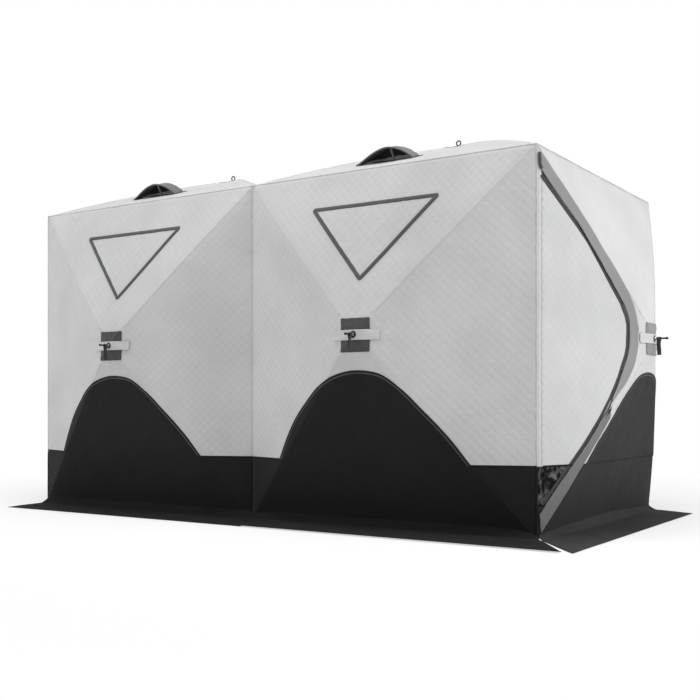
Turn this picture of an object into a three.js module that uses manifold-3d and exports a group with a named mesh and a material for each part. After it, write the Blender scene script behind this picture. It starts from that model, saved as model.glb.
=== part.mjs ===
// Pop-up ice fishing shelter made of two joined cube-shaped units.
// Millimetres, +Z up. X runs along the long side (+X is the door end), the
// front wall faces -Y, and the origin is on the ground at the middle of the plan.
//
// Each of the eight panels (two front, two back, two ends, two roof) has a hub
// at its middle and four fibreglass rods that run from the hub to the corners
// of the panel. The hub is pushed out past the panel's plane, so the rods hold
// the quilted skin tight in a low pyramid. Pulling a hub inwards snaps it over
// centre and slackens that panel.
import * as THREE from 'three';
import { mergeVertices } from 'three/addons/utils/BufferGeometryUtils.js';
import Module from 'manifold-3d';

const wasm = await Module();
wasm.setup();

// ---------------------------------------------------------------- dimensions
const UNIT_HALF = 900;       // half the width of one unit along X
const DEPTH_HALF = 900;      // half the depth of the shelter along Y
const EAVE_Z = 1970;         // height of the walls at the corners
const HUB_Z = 1037;          // height of the wall hubs
const SKIN_T = 3;            // thickness of the quilted skin
const SKIN_EDGE = 3.6;       // room left at a corner for the next panel's skin

const WALL_APEX = 287;       // skin's height over the panel plane at a wall hub
const WALL_PEAK = 300;       // where the four facets would meet without rounding
const END_APEX = 305;
const END_PEAK = 318;
const ROOF_APEX = 285;
const ROOF_PEAK = 298;
const WALL_BOW = 16;         // how far the ridges bow outwards half way along
const ROOF_BOW = 26;
const ROUNDED = 0.12;        // share of the ridge, at the hub, that is rounded
const HUB_HOLE = 0.026;      // share of the panel left open for the hub bolt

const ROD_R = 5.5;           // fibreglass rod, 11 mm
const ROD_DROP = 18;         // rod axis below the outer face of the skin
const ROD_TIP = 0.95;        // where the rod ends along the ridge, 1 = corner
const PIVOT_R = 50;          // distance of a rod's pivot from the hub's middle
const DISC_R = 34;
const DISC_T = 16;
const BOLT_R = 6;
const WASHER_R = 19;
const PULL_PIN_R = 5;
const PULL_PIN_OUT = 84;     // how far the pull pin stands out of the skin
const STRAP_W = 25;
const STRAP_L = 92;
const STRAP_T = 3;

const SKIRT_T = 4;
const SKIRT_GAP = 2.6;       // room between the skirt and the leaning wall
const SKIRT_BIND = 14;       // width of the band that runs round each corner

const DOOR_T = 3;
const ZIP_OUT = 15;          // the zip runs over the swell beside the ridge
const DOOR_STRIP = [3, 26];  // hinge strip, measured from the corner seam
const DOOR_EDGE = 32;        // where the door itself starts
// Door outline in the facet's plane: distance from the corner seam, height.
const DOOR_OUTLINE = [
  [DOOR_EDGE, 1815], [293, 1605], [379, 1529], [551, 1339], [660, 1225],
  [712, 1150], [727, 1062], [708, 940], [635, 803], [562, 692], [476, 582],
  [363, 457], [137, 240], [DOOR_EDGE, 140],
];

const VENT_X = -140;         // middle of the vent, from the unit's middle
const VENT_W = 380;
const VENT_Y = [-640, -470]; // front and back of the mesh window, in plan
const HOOD_W = 460;
const HOOD_H = 96;
const HOOD_Y = [-652, -430];
const HOOD_OFF = 24;         // the hood's hem clears the swell of the roof facet

// ------------------------------------------------------------------- colours
const skinGrey = { color: 0xc4c6c8, roughness: 0.85, metalness: 0 };
const skirtBlack = { color: 0x202123, roughness: 0.9, metalness: 0 };
const trimBlack = { color: 0x141416, roughness: 0.8, metalness: 0 };
const hubBlack = { color: 0x161718, roughness: 0.45, metalness: 0.1 };
const rodBlack = { color: 0x1b1c1e, roughness: 0.35, metalness: 0 };
const doorGrey = { color: 0xc9cbcd, roughness: 0.85, metalness: 0 };
const meshBlack = { color: 0x2a2b2d, roughness: 0.9, metalness: 0 };
const sliderGrey = { color: 0x77797c, roughness: 0.35, metalness: 0.8 };

const shelter = new THREE.Group();

function addMesh(group, name, geometry, look) {
  const mesh = new THREE.Mesh(geometry, new THREE.MeshStandardMaterial(look));
  mesh.name = name;
  group.add(mesh);
  return mesh;
}

// ----------------------------------------------------------- solids and cuts
function toSolid(geometry) {
  let g = geometry.clone();
  g.deleteAttribute('normal');
  g.deleteAttribute('uv');
  g = mergeVertices(g, 1e-3);
  return new wasm.Manifold(new wasm.Mesh({
    numProp: 3,
    vertProperties: new Float32Array(g.attributes.position.array),
    triVerts: new Uint32Array(g.index.array),
  }));
}

function fromSolid(solid) {
  const m = solid.getMesh();
  const g = new THREE.BufferGeometry();
  g.setAttribute('position', new THREE.BufferAttribute(new Float32Array(m.vertProperties), 3));
  g.setIndex(new THREE.BufferAttribute(new Uint32Array(m.triVerts), 1));
  g.computeVertexNormals();
  return g;
}

function joined(...geometries) {
  let solid = toSolid(geometries[0]);
  for (const g of geometries.slice(1)) solid = solid.add(toSolid(g));
  return solid;
}

// A closed geometry from points and faces, turned so that its faces point out.
function closed(points, faces) {
  let volume = 0;
  for (const [a, b, c] of faces) {
    const A = points[a], B = points[b], C = points[c];
    volume += A[0] * (B[1] * C[2] - B[2] * C[1])
            - A[1] * (B[0] * C[2] - B[2] * C[0])
            + A[2] * (B[0] * C[1] - B[1] * C[0]);
  }
  const index = [];
  for (const [a, b, c] of faces) index.push(...(volume > 0 ? [a, b, c] : [a, c, b]));
  const g = new THREE.BufferGeometry();
  g.setAttribute('position', new THREE.Float32BufferAttribute(points.flat(), 3));
  g.setIndex(index);
  g.computeVertexNormals();
  return g;
}

function box(x0, x1, y0, y1, z0, z1) {
  return new THREE.BoxGeometry(x1 - x0, y1 - y0, z1 - z0)
    .translate((x0 + x1) / 2, (y0 + y1) / 2, (z0 + z1) / 2);
}

// A cylinder whose axis is local +Z.
function drum(radius, z0, z1, sides) {
  return new THREE.CylinderGeometry(radius, radius, z1 - z0, sides)
    .rotateX(Math.PI / 2).translate(0, 0, (z0 + z1) / 2);
}

// -------------------------------------------------------------- panel frames
// A panel frame has its origin at the hub's foot on the panel plane, u and v in
// that plane and h outwards.
function panelFrame(origin, u, v, n) {
  const group = new THREE.Group();
  const m = new THREE.Matrix4().makeBasis(
    new THREE.Vector3(...u), new THREE.Vector3(...v), new THREE.Vector3(...n));
  m.setPosition(...origin);
  group.applyMatrix4(m);
  shelter.add(group);
  return group;
}

const WALL = { lo: -HUB_Z, hi: EAVE_Z - HUB_Z, apex: WALL_APEX, peak: WALL_PEAK, bow: WALL_BOW };
const END = { ...WALL, apex: END_APEX, peak: END_PEAK };
const ROOF = { lo: -DEPTH_HALF, hi: DEPTH_HALF, apex: ROOF_APEX, peak: ROOF_PEAK, bow: ROOF_BOW };

const PANELS = {
  front_left: { ...WALL, at: [-UNIT_HALF, -DEPTH_HALF, HUB_Z], u: [1, 0, 0], v: [0, 0, 1], n: [0, -1, 0] },
  front_right: { ...WALL, at: [UNIT_HALF, -DEPTH_HALF, HUB_Z], u: [1, 0, 0], v: [0, 0, 1], n: [0, -1, 0] },
  back_left: { ...WALL, at: [-UNIT_HALF, DEPTH_HALF, HUB_Z], u: [-1, 0, 0], v: [0, 0, 1], n: [0, 1, 0] },
  back_right: { ...WALL, at: [UNIT_HALF, DEPTH_HALF, HUB_Z], u: [-1, 0, 0], v: [0, 0, 1], n: [0, 1, 0] },
  left_end: { ...END, at: [-2 * UNIT_HALF, 0, HUB_Z], u: [0, -1, 0], v: [0, 0, 1], n: [-1, 0, 0] },
  right_end: { ...END, at: [2 * UNIT_HALF, 0, HUB_Z], u: [0, 1, 0], v: [0, 0, 1], n: [1, 0, 0] },
  roof_left: { ...ROOF, at: [-UNIT_HALF, 0, EAVE_Z], u: [1, 0, 0], v: [0, 1, 0], n: [0, 0, 1] },
  roof_right: { ...ROOF, at: [UNIT_HALF, 0, EAVE_Z], u: [1, 0, 0], v: [0, 1, 0], n: [0, 0, 1] },
};
const frames = {};
for (const [name, p] of Object.entries(PANELS)) frames[name] = panelFrame(p.at, p.u, p.v, p.n);

// Height of the skin's outer face over the panel plane. m is 1 at the panel's
// edge and 0 at the hub.
function skinHeight(p, m, ridge) {
  const flat = m > ROUNDED
    ? p.peak * (1 - m)
    : p.apex + (p.peak * (1 - ROUNDED) - p.apex) * (m / ROUNDED) ** 2;
  return flat + (ridge ? p.bow * 4 * m * (1 - m) : 0);
}

// The skin of one panel: rings of points from its edge up to the hub's hole.
function skinPanel(p, [u0, u1], [v0, v1]) {
  const corners = [[u0, v0], [u1, v0], [u1, v1], [u0, v1]];
  const around = [];
  corners.forEach((c, i) => {
    const d = corners[(i + 1) % 4];
    around.push({ c, ridge: true });
    around.push({ c: [(c[0] + d[0]) / 2, (c[1] + d[1]) / 2], ridge: false });
  });
  const levels = [1, 0.7, 0.4, ROUNDED, 0.06, HUB_HOLE];
  const n = around.length;
  const points = [];
  for (const side of [0, 1]) {
    for (const m of levels) {
      for (const { c, ridge } of around) {
        points.push([c[0] * m, c[1] * m, skinHeight(p, m, ridge) - side * SKIN_T]);
      }
    }
  }
  const id = (side, level, k) => (side * levels.length + level) * n + (k % n);
  const faces = [];
  const quad = (a, b, c, d) => faces.push([a, b, c], [a, c, d]);
  // the inner face is split along the same diagonals, so the skin keeps its thickness
  const back = (a, b, c, d) => faces.push([a, c, b], [a, d, c]);
  for (let l = 0; l + 1 < levels.length; l++) {
    for (let k = 0; k < n; k++) {
      quad(id(0, l, k), id(0, l, k + 1), id(0, l + 1, k + 1), id(0, l + 1, k));
      back(id(1, l, k), id(1, l, k + 1), id(1, l + 1, k + 1), id(1, l + 1, k));
    }
  }
  const last = levels.length - 1;
  for (let k = 0; k < n; k++) {
    quad(id(1, 0, k), id(1, 0, k + 1), id(0, 0, k + 1), id(0, 0, k));
    quad(id(0, last, k), id(0, last, k + 1), id(1, last, k + 1), id(1, last, k));
  }
  return closed(points, faces);
}

// ---------------------------------------------------------------- wall skins
// Two panels side by side share a mid seam, so they are one piece of skin.
function pairSkin(left, right, uSeam) {
  const solids = [];
  for (const [name, sign] of [[left, 1], [right, -1]]) {
    const p = PANELS[name];
    const wide = UNIT_HALF;
    const seam = sign * uSeam;
    const u = seam > 0 ? [-wide, wide + 1] : [-wide - 1, wide];
    const top = p.n[2] ? p.hi : p.hi - SKIN_EDGE;
    const g = skinPanel(p, u, [p.lo, top]);
    g.applyMatrix4(frames[name].matrix);
    solids.push(toSolid(g));
  }
  return solids[0].add(solids[1]);
}
addMesh(shelter, 'wall_front', fromSolid(pairSkin('front_left', 'front_right', 1)), skinGrey);
addMesh(shelter, 'wall_back', fromSolid(pairSkin('back_left', 'back_right', -1)), skinGrey);

const END_U = DEPTH_HALF - SKIN_EDGE;
addMesh(frames.left_end, 'wall_left_end',
  skinPanel(END, [-END_U, END_U], [END.lo, END.hi - SKIN_EDGE]), skinGrey);

// ---------------------------------------------------- door in the right end
// The door fills the facet beside the front corner. It lies in a plane through
// the corner seam, leaning out by the facet's slope.
const DOOR_LEAN = Math.atan2(END_PEAK, DEPTH_HALF);
function doorFrame() {
  const group = new THREE.Group();
  const w = new THREE.Vector3(Math.sin(DOOR_LEAN), Math.cos(DOOR_LEAN), 0);
  const up = new THREE.Vector3(0, 0, 1);
  const out = new THREE.Vector3().crossVectors(w, up);
  group.applyMatrix4(new THREE.Matrix4().makeBasis(w, up, out)
    .setPosition(2 * UNIT_HALF, -DEPTH_HALF, 0));
  shelter.add(group);
  return group;
}
const door = doorFrame();
// The skin's face lies in the plane out = 0 of this frame, its back at -SKIN_T.
function plate(outline, t0, t1) {
  const s = new THREE.Shape(outline.map(([x, y]) => new THREE.Vector2(x, y)));
  return new THREE.ExtrudeGeometry(s, { depth: t1 - t0, bevelEnabled: false, curveSegments: 8 })
    .translate(0, 0, t0);
}
function grown(outline, by) {
  const n = outline.length;
  return outline.map((p, i) => {
    const a = outline[(i + n - 1) % n], b = outline[(i + 1) % n];
    const n1 = new THREE.Vector2(p[1] - a[1], a[0] - p[0]).normalize();
    const n2 = new THREE.Vector2(b[1] - p[1], p[0] - b[0]).normalize();
    const area = outline.reduce((s, q, j) => {
      const r = outline[(j + 1) % n];
      return s + q[0] * r[1] - r[0] * q[1];
    }, 0);
    const sign = area > 0 ? 1 : -1;
    const m = n1.clone().add(n2).multiplyScalar(sign * by / (1 + n1.dot(n2)));
    return [p[0] + m.x, p[1] + m.y];
  });
}
// The opening starts past the seam so that the hinge strip fits in it too.
const opening = plate(
  [[0.5, 1852], ...grown(DOOR_OUTLINE, 3).slice(1, -1), [0.5, 98]], -60, 60);
opening.applyMatrix4(door.matrix);
const rightSkin = skinPanel(END, [-END_U, END_U], [END.lo, END.hi - SKIN_EDGE]);
rightSkin.applyMatrix4(frames.right_end.matrix);
addMesh(shelter, 'wall_right_end', fromSolid(toSolid(rightSkin).subtract(toSolid(opening))), skinGrey);

addMesh(door, 'door_panel', plate(DOOR_OUTLINE, -DOOR_T - 0.5, -0.5), doorGrey);
addMesh(door, 'door_hinge_strip',
  plate([[DOOR_STRIP[0], 160], [DOOR_STRIP[1], 160], [DOOR_STRIP[1], 1800], [DOOR_STRIP[0], 1800]],
    -DOOR_T - 0.5, -0.5), trimBlack);

// Zip slider with its pull tab, parked half way down the door's free edge.
const zipFrom = new THREE.Vector2(546, 650), zipTo = new THREE.Vector2(137, 240);
const zipDir = zipTo.clone().sub(zipFrom).normalize();
const zip = new THREE.Group();
zip.position.set(zipFrom.x, zipFrom.y, 0);
zip.rotation.z = Math.atan2(zipDir.y, zipDir.x);
door.add(zip);
{
  const shell = box(-14, 14, -8, 8, ZIP_OUT, ZIP_OUT + 6);
  const bridge = box(-6, 8, -3, 3, ZIP_OUT + 4, ZIP_OUT + 12);
  const tab = plate([[2, -5], [44, -6.5], [48, -4], [48, 4], [44, 6.5], [2, 5]], ZIP_OUT + 8, ZIP_OUT + 10.5);
  addMesh(zip, 'door_zip_slider', fromSolid(joined(shell, bridge, tab)), sliderGrey);
}

// ------------------------------------------------------------- roof and vents
// Each vent is a mesh window let into the front facet of its roof panel, under
// an arched hood that is open to the front.
const ROOF_SLOPE = Math.atan2(ROOF_PEAK, DEPTH_HALF);
const along = (y) => (y + DEPTH_HALF) / Math.cos(ROOF_SLOPE);   // up the facet
function ventFrame(xUnit) {
  const group = new THREE.Group();
  group.position.set(xUnit + VENT_X, -DEPTH_HALF, EAVE_Z);
  group.rotation.x = ROOF_SLOPE;
  shelter.add(group);
  group.updateMatrix();
  return group;
}
const vents = { left: ventFrame(-UNIT_HALF), right: ventFrame(UNIT_HALF) };
const ventLow = along(VENT_Y[0]), ventHigh = along(VENT_Y[1]);
let roofSolid = pairSkin('roof_left', 'roof_right', 1);
for (const group of Object.values(vents)) {
  const cut = box(-VENT_W / 2 - 3, VENT_W / 2 + 3, ventLow - 3, ventHigh + 3, -60, 60);
  cut.applyMatrix4(group.matrix);
  roofSolid = roofSolid.subtract(toSolid(cut));
}
addMesh(shelter, 'roof', fromSolid(roofSolid), skinGrey);

function hoodGeometry() {
  const nx = 8, ny = 3, half = HOOD_W / 2;
  const y0 = along(HOOD_Y[0]), y1 = along(HOOD_Y[1]);
  const points = [];
  for (const side of [0, 1]) {
    for (let j = 0; j <= ny; j++) {
      const t = j / ny;
      const w = (half - side * 3) * (1 - 0.18 * t * t);
      const h = HOOD_H * Math.sqrt(1 - t * t * 0.97) * (1 - 0.25 * t);
      for (let i = 0; i <= nx; i++) {
        const a = Math.PI * i / nx;
        const rise = Math.pow(Math.sin(a), 0.8) * h;
        points.push([-Math.cos(a) * w, y0 + (y1 - y0) * t, HOOD_OFF + (side ? Math.max(rise - 3, 0) - 3 : rise)]);
      }
    }
  }
  const id = (side, j, i) => (side * (ny + 1) + j) * (nx + 1) + i;
  const faces = [];
  const quad = (a, b, c, d) => faces.push([a, b, c], [a, c, d]);
  for (let j = 0; j < ny; j++) {
    for (let i = 0; i < nx; i++) {
      quad(id(0, j, i), id(0, j, i + 1), id(0, j + 1, i + 1), id(0, j + 1, i));
      quad(id(1, j, i + 1), id(1, j, i), id(1, j + 1, i), id(1, j + 1, i + 1));
    }
  }
  for (let i = 0; i < nx; i++) {
    quad(id(1, 0, i), id(1, 0, i + 1), id(0, 0, i + 1), id(0, 0, i));
    quad(id(0, ny, i), id(0, ny, i + 1), id(1, ny, i + 1), id(1, ny, i));
  }
  for (let j = 0; j < ny; j++) {
    quad(id(0, j, 0), id(0, j + 1, 0), id(1, j + 1, 0), id(1, j, 0));
    quad(id(0, j + 1, nx), id(0, j, nx), id(1, j, nx), id(1, j + 1, nx));
  }
  return closed(points, faces);
}
for (const [side, group] of Object.entries(vents)) {
  const rim = box(-VENT_W / 2, VENT_W / 2, ventLow, ventHigh, -3, 0);
  addMesh(group, `vent_mesh_${side}`, rim, meshBlack);
  addMesh(group, `vent_hood_${side}`, hoodGeometry(), meshBlack);
}

// ----------------------------------------------------------------- the frame
const wallCorner = (p, su, sv) => [su * UNIT_HALF, sv > 0 ? p.hi : p.lo];

// A rod in its panel's frame: an eye on the hub's pin, then the rod, bowed with
// the ridge of the skin and ending in its pocket near the panel's corner.
function rodGeometry(p, corner) {
  const reach = Math.hypot(...corner);
  const dir = [corner[0] / reach, corner[1] / reach];
  const height = (r) => skinHeight(p, r / reach, true) - ROD_DROP;
  const pivot = new THREE.Vector3(dir[0] * PIVOT_R, dir[1] * PIVOT_R, height(PIVOT_R));
  const start = PIVOT_R + 14, end = reach * ROD_TIP;
  const pts = [];
  for (let i = 0; i <= 4; i++) {
    const r = start + (end - start) * i / 4;
    pts.push(new THREE.Vector3(dir[0] * r, dir[1] * r, height(r)));
  }
  const ring = new THREE.Shape();
  for (let i = 0; i < 6; i++) {
    const a = Math.PI / 3 * i;
    ring[i ? 'lineTo' : 'moveTo'](ROD_R * Math.cos(a), ROD_R * Math.sin(a));
  }
  ring.closePath();
  const rod = new THREE.ExtrudeGeometry(ring, { steps: 4, extrudePath: new THREE.CatmullRomCurve3(pts), bevelEnabled: false });
  // The eye lies in the plane of the rod's swing.
  const to = pts[0].clone().sub(pivot).normalize();
  const side = new THREE.Vector3(-dir[1], dir[0], 0);
  const up = new THREE.Vector3().crossVectors(to, side).normalize();
  const tang = new THREE.Shape();
  tang.moveTo(24, -4.4); tang.lineTo(24, 4.4); tang.lineTo(3, 5.6);
  tang.lineTo(-5.6, 3); tang.lineTo(-5.6, -3); tang.lineTo(3, -5.6); tang.closePath();
  const hole = new THREE.Path();
  for (let i = 0; i < 6; i++) {
    const a = Math.PI / 3 * i;
    hole[i ? 'lineTo' : 'moveTo'](3.1 * Math.cos(a), 3.1 * Math.sin(a));
  }
  hole.closePath();
  tang.holes.push(hole);
  const eye = new THREE.ExtrudeGeometry(tang, { depth: 8, bevelEnabled: false }).translate(0, 0, -4);
  eye.applyMatrix4(new THREE.Matrix4().makeBasis(to, up, new THREE.Vector3().crossVectors(to, up))
    .setPosition(pivot));
  return { geometry: fromSolid(joined(eye, rod)), pivot, dir };
}

// The hub: a disc with a fork for each rod, a bolt through the skin, a washer
// and nut outside, and on the walls a pull pin.
function hubGeometry(p, pivots, hasPin) {
  const z = pivots[0].pivot.z;
  const parts = [drum(DISC_R, z - DISC_T / 2, z + DISC_T / 2, 12)];
  for (const { pivot, dir } of pivots) {
    const angle = Math.atan2(dir[1], dir[0]);
    const put = (g) => g.rotateZ(angle).translate(0, 0, pivot.z);
    for (const s of [-1, 1]) {
      const y = s > 0 ? [5.2, 9] : [-9, -5.2];
      parts.push(put(box(24, PIVOT_R + 7, y[0], y[1], -7, 7)));
    }
    parts.push(put(new THREE.CylinderGeometry(2.2, 2.2, 16, 6).translate(PIVOT_R, 0, 0)));
  }
  const out = p.apex;
  parts.push(drum(BOLT_R, z, out + 10, 8));
  const washer = new THREE.LatheGeometry([
    new THREE.Vector2(BOLT_R - 2, out + 4), new THREE.Vector2(WASHER_R, out + 4),
    new THREE.Vector2(WASHER_R, out + 9), new THREE.Vector2(BOLT_R - 2, out + 9),
    new THREE.Vector2(BOLT_R - 2, out + 4)], 12).rotateX(Math.PI / 2);
  parts.push(washer);
  parts.push(drum(10, out + 8, out + 16, 6));
  if (hasPin) parts.push(drum(PULL_PIN_R, out + 15, out + PULL_PIN_OUT, 6));
  return fromSolid(joined(...parts));
}

// A webbing pull strap that hangs from the pull pin and swings about it.
function strapGeometry(p) {
  const w = STRAP_W / 2;
  const s = new THREE.Shape();
  s.moveTo(-w, -STRAP_L + 3); s.lineTo(-w + 3, -STRAP_L); s.lineTo(w - 3, -STRAP_L);
  s.lineTo(w, -STRAP_L + 3); s.lineTo(w, 4); s.lineTo(w - 5, 11); s.lineTo(-w + 5, 11);
  s.lineTo(-w, 4); s.closePath();
  const hole = new THREE.Path();
  for (let i = 0; i < 8; i++) {
    const a = Math.PI / 4 * (i + 0.5);
    hole[i ? 'lineTo' : 'moveTo'](6.2 * Math.cos(a), 6.2 * Math.sin(a));
  }
  hole.closePath();
  s.holes.push(hole);
  return new THREE.ExtrudeGeometry(s, { depth: STRAP_T, bevelEnabled: false })
    .translate(0, 0, p.apex + 24);
}

for (const [name, p] of Object.entries(PANELS)) {
  const group = frames[name];
  const isRoof = p.n[2] === 1;
  const rods = [];
  const corners = { a: [-1, 1], b: [1, 1], c: [1, -1], d: [-1, -1] };
  const words = isRoof
    ? { a: 'back_left', b: 'back_right', c: 'front_right', d: 'front_left' }
    : { a: 'upper_left', b: 'upper_right', c: 'lower_right', d: 'lower_left' };
  for (const [key, [su, sv]] of Object.entries(corners)) {
    const rod = rodGeometry(p, wallCorner(p, su, sv));
    rods.push(rod);
    addMesh(group, `rod_${name}_${words[key]}`, rod.geometry, rodBlack);
  }
  addMesh(group, `hub_${name}`, hubGeometry(p, rods, !isRoof), hubBlack);
  if (!isRoof) addMesh(group, `pull_strap_${name}`, strapGeometry(p), trimBlack);
}

// ---------------------------------------------------------------- snow skirt
// A flap that lies on the ice all round. It is one piece at the foot of the
// walls and slit at the corners, so that the strips can be banked with snow.
{
  const g = SKIRT_GAP, X = 2 * UNIT_HALF, Y = DEPTH_HALF, b = SKIRT_BIND;
  const outer = [
    [-X - b, -Y - b], [-X + 54, -Y - 378], [X + 290, -Y - 392], [X + b, -Y - b],
    [X + 334, -Y - 388], [X + 316, Y - 130], [X + b, Y + b],
    [X - 60, Y + 392], [-X - 54, Y + 392], [-X - b, Y + b],
    [-X - 320, Y - 320], [-X - 320, -Y + 320],
  ];
  // Each slit opens a little way out from the corner band.
  const s = new THREE.Shape(outer.map(([x, y]) => new THREE.Vector2(x, y)));
  s.holes.push(new THREE.Path([
    new THREE.Vector2(-X - g, -Y - g), new THREE.Vector2(-X - g, Y + g),
    new THREE.Vector2(X + g, Y + g), new THREE.Vector2(X + g, -Y - g)]));
  addMesh(shelter, 'snow_skirt',
    new THREE.ExtrudeGeometry(s, { depth: SKIRT_T, bevelEnabled: false }), skirtBlack);
}

export default shelter;
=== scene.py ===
import bpy, bmesh, math
import numpy as np
from mathutils import Vector, Matrix
from mathutils.geometry import delaunay_2d_cdt


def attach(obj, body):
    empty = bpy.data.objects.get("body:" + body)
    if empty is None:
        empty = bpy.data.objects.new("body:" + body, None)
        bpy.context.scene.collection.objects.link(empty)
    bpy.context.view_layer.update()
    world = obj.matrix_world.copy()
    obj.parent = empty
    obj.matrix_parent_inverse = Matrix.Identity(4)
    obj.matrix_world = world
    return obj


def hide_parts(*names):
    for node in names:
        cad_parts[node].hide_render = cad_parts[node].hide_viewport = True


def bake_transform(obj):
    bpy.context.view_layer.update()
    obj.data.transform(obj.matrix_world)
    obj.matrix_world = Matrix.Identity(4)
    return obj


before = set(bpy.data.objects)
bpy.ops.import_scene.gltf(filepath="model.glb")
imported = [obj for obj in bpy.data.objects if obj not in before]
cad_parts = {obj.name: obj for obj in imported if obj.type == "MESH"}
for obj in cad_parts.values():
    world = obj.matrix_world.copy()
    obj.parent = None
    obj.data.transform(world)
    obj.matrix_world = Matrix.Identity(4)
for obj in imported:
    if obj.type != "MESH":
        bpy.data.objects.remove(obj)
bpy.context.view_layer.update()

# ------------------------------------------------------------------ camera
cam_data = bpy.data.cameras.new("camera")
cam = bpy.data.objects.new("camera", cam_data)
bpy.context.scene.collection.objects.link(cam)
cam.location = (3.8391, -5.6912, 0.6632)
cam.rotation_euler = (math.radians(90), 0, math.radians(33.328))
cam_data.sensor_width = 36
cam_data.lens = 53.03
cam_data.shift_y = 0.0802
cam_data.clip_end = 100
bpy.context.scene.camera = cam
bpy.context.scene.view_settings.view_transform = "Standard"

# ------------------------------------------------------- panels of the skin
UH, DH, EAVE, HUBZ = 0.9, 0.9, 1.97, 1.037
ROUND, DROP, TIP, PR = 0.12, 0.018, 0.95, 0.05
T_SKIN = 0.003


class Panel:
    def __init__(self, name, at, u, v, n, lo, hi, apex, peak, bow):
        self.name, self.at = name, np.array(at, float)
        self.u, self.v, self.n = (np.array(x, float) for x in (u, v, n))
        self.lo, self.hi, self.apex, self.peak, self.bow = lo, hi, apex, peak, bow
        self.roof = n[2] > 0.5
        self.seed = sum(ord(c) * (i + 3) for i, c in enumerate(name)) % 97

    def m(self, u, v, soft=0.011):
        a = np.abs(u) / UH
        b = np.where(v >= 0, v / self.hi, v / self.lo)
        m = (a + b + np.sqrt((a - b) ** 2 + soft ** 2)) / 2
        t = np.minimum(a, b) / np.maximum(np.maximum(a, b), 1e-6)
        return m, t

    def height(self, u, v, wrinkle=True):
        u, v = np.asarray(u, float), np.asarray(v, float)
        m, t = self.m(u, v)
        far = self.peak * (1 - m)
        near = self.apex + (self.peak * (1 - ROUND) - self.apex) * (np.minimum(m, ROUND) / ROUND) ** 2
        h = np.where(m > ROUND, far, near)
        h = h + self.bow * 4 * m * (1 - m) * (0.3 + 0.7 * t * t)
        if wrinkle:
            h = h + self.wrinkles(u, v, m, t)
        return h

    def wrinkles(self, u, v, m, t):
        s = self.seed
        edge = np.clip((1 - m) / 0.10, 0, 1)
        edge = edge * edge * (3 - 2 * edge)
        free = 1 - 0.75 * np.clip((t - 0.8) / 0.2, 0, 1)
        ang = np.arctan2(v, u)
        r = np.hypot(u, v)
        big = noise(u / 0.42 + s, v / 0.36 - s) * 0.0042 + noise(u / 0.17 + 7, v / 0.15 + s) * 0.0017
        # folds that fan out from the hub patch
        fan = np.sin(ang * 11 + 1.7 * noise(u / 0.3 + s, v / 0.3) + s) * np.exp(-((r - 0.17) / 0.13) ** 2) * 0.0016
        fan += np.sin(ang * 23 + 2.5 * noise(u / 0.2 - s, v / 0.2 + 3)) * np.exp(-((r - 0.14) / 0.07) ** 2) * 0.0009
        # puckers where the skin is sewn along the edges
        along = np.where(np.abs(u) / UH > np.abs(v) / (self.hi if self.roof else 1.0), v, u)
        near_edge = np.exp(-((1 - m) / 0.055) ** 2) * np.clip((1 - m) / 0.012, 0, 1)
        pucker = np.sin(along * 105 + 3 * noise(along / 0.11 + s, 0 * along + 0.5)) * near_edge * 0.0016
        # slack creases running in from the corners, across each facet
        crease = np.abs(noise(u / 0.23 + 1.3 * s, v / 0.23 - 0.7 * s)) ** 0.7
        cre = -0.0026 * crease * np.exp(-((m - 0.8) / 0.16) ** 2)
        return (big * free + fan + cre * free) * edge + pucker

    def world(self, u, v, h):
        u, v, h = (np.asarray(x, float)[..., None] for x in (u, v, h))
        return self.at + u * self.u + v * self.v + h * self.n

    def on(self, u, v, lift=0.0):
        return self.world(u, v, self.height(u, v) + lift)

    def weight(self, u, v):
        m, _ = self.m(np.asarray(u, float), np.asarray(v, float), 1e-4)
        return np.clip((TIP - m) / (TIP - 0.039), 0, 1)


_perm = np.random.RandomState(11).permutation(256)
_perm = np.concatenate([_perm, _perm, _perm])
_ang = np.random.RandomState(5).rand(256) * 2 * math.pi


def noise(x, y):
    x, y = np.asarray(x, float), np.asarray(y, float)
    xi, yi = np.floor(x).astype(int), np.floor(y).astype(int)
    xf, yf = x - xi, y - yi
    fx, fy = xf ** 3 * (xf * (xf * 6 - 15) + 10), yf ** 3 * (yf * (yf * 6 - 15) + 10)

    def g(ix, iy, dx, dy):
        a = _ang[_perm[(_perm[ix & 255] + iy) & 255]]
        return np.cos(a) * dx + np.sin(a) * dy

    a, b = g(xi, yi, xf, yf), g(xi + 1, yi, xf - 1, yf)
    c, d = g(xi, yi + 1, xf, yf - 1), g(xi + 1, yi + 1, xf - 1, yf - 1)
    return (a * (1 - fx) + b * fx) * (1 - fy) + (c * (1 - fx) + d * fx) * fy * 1.0


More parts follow.
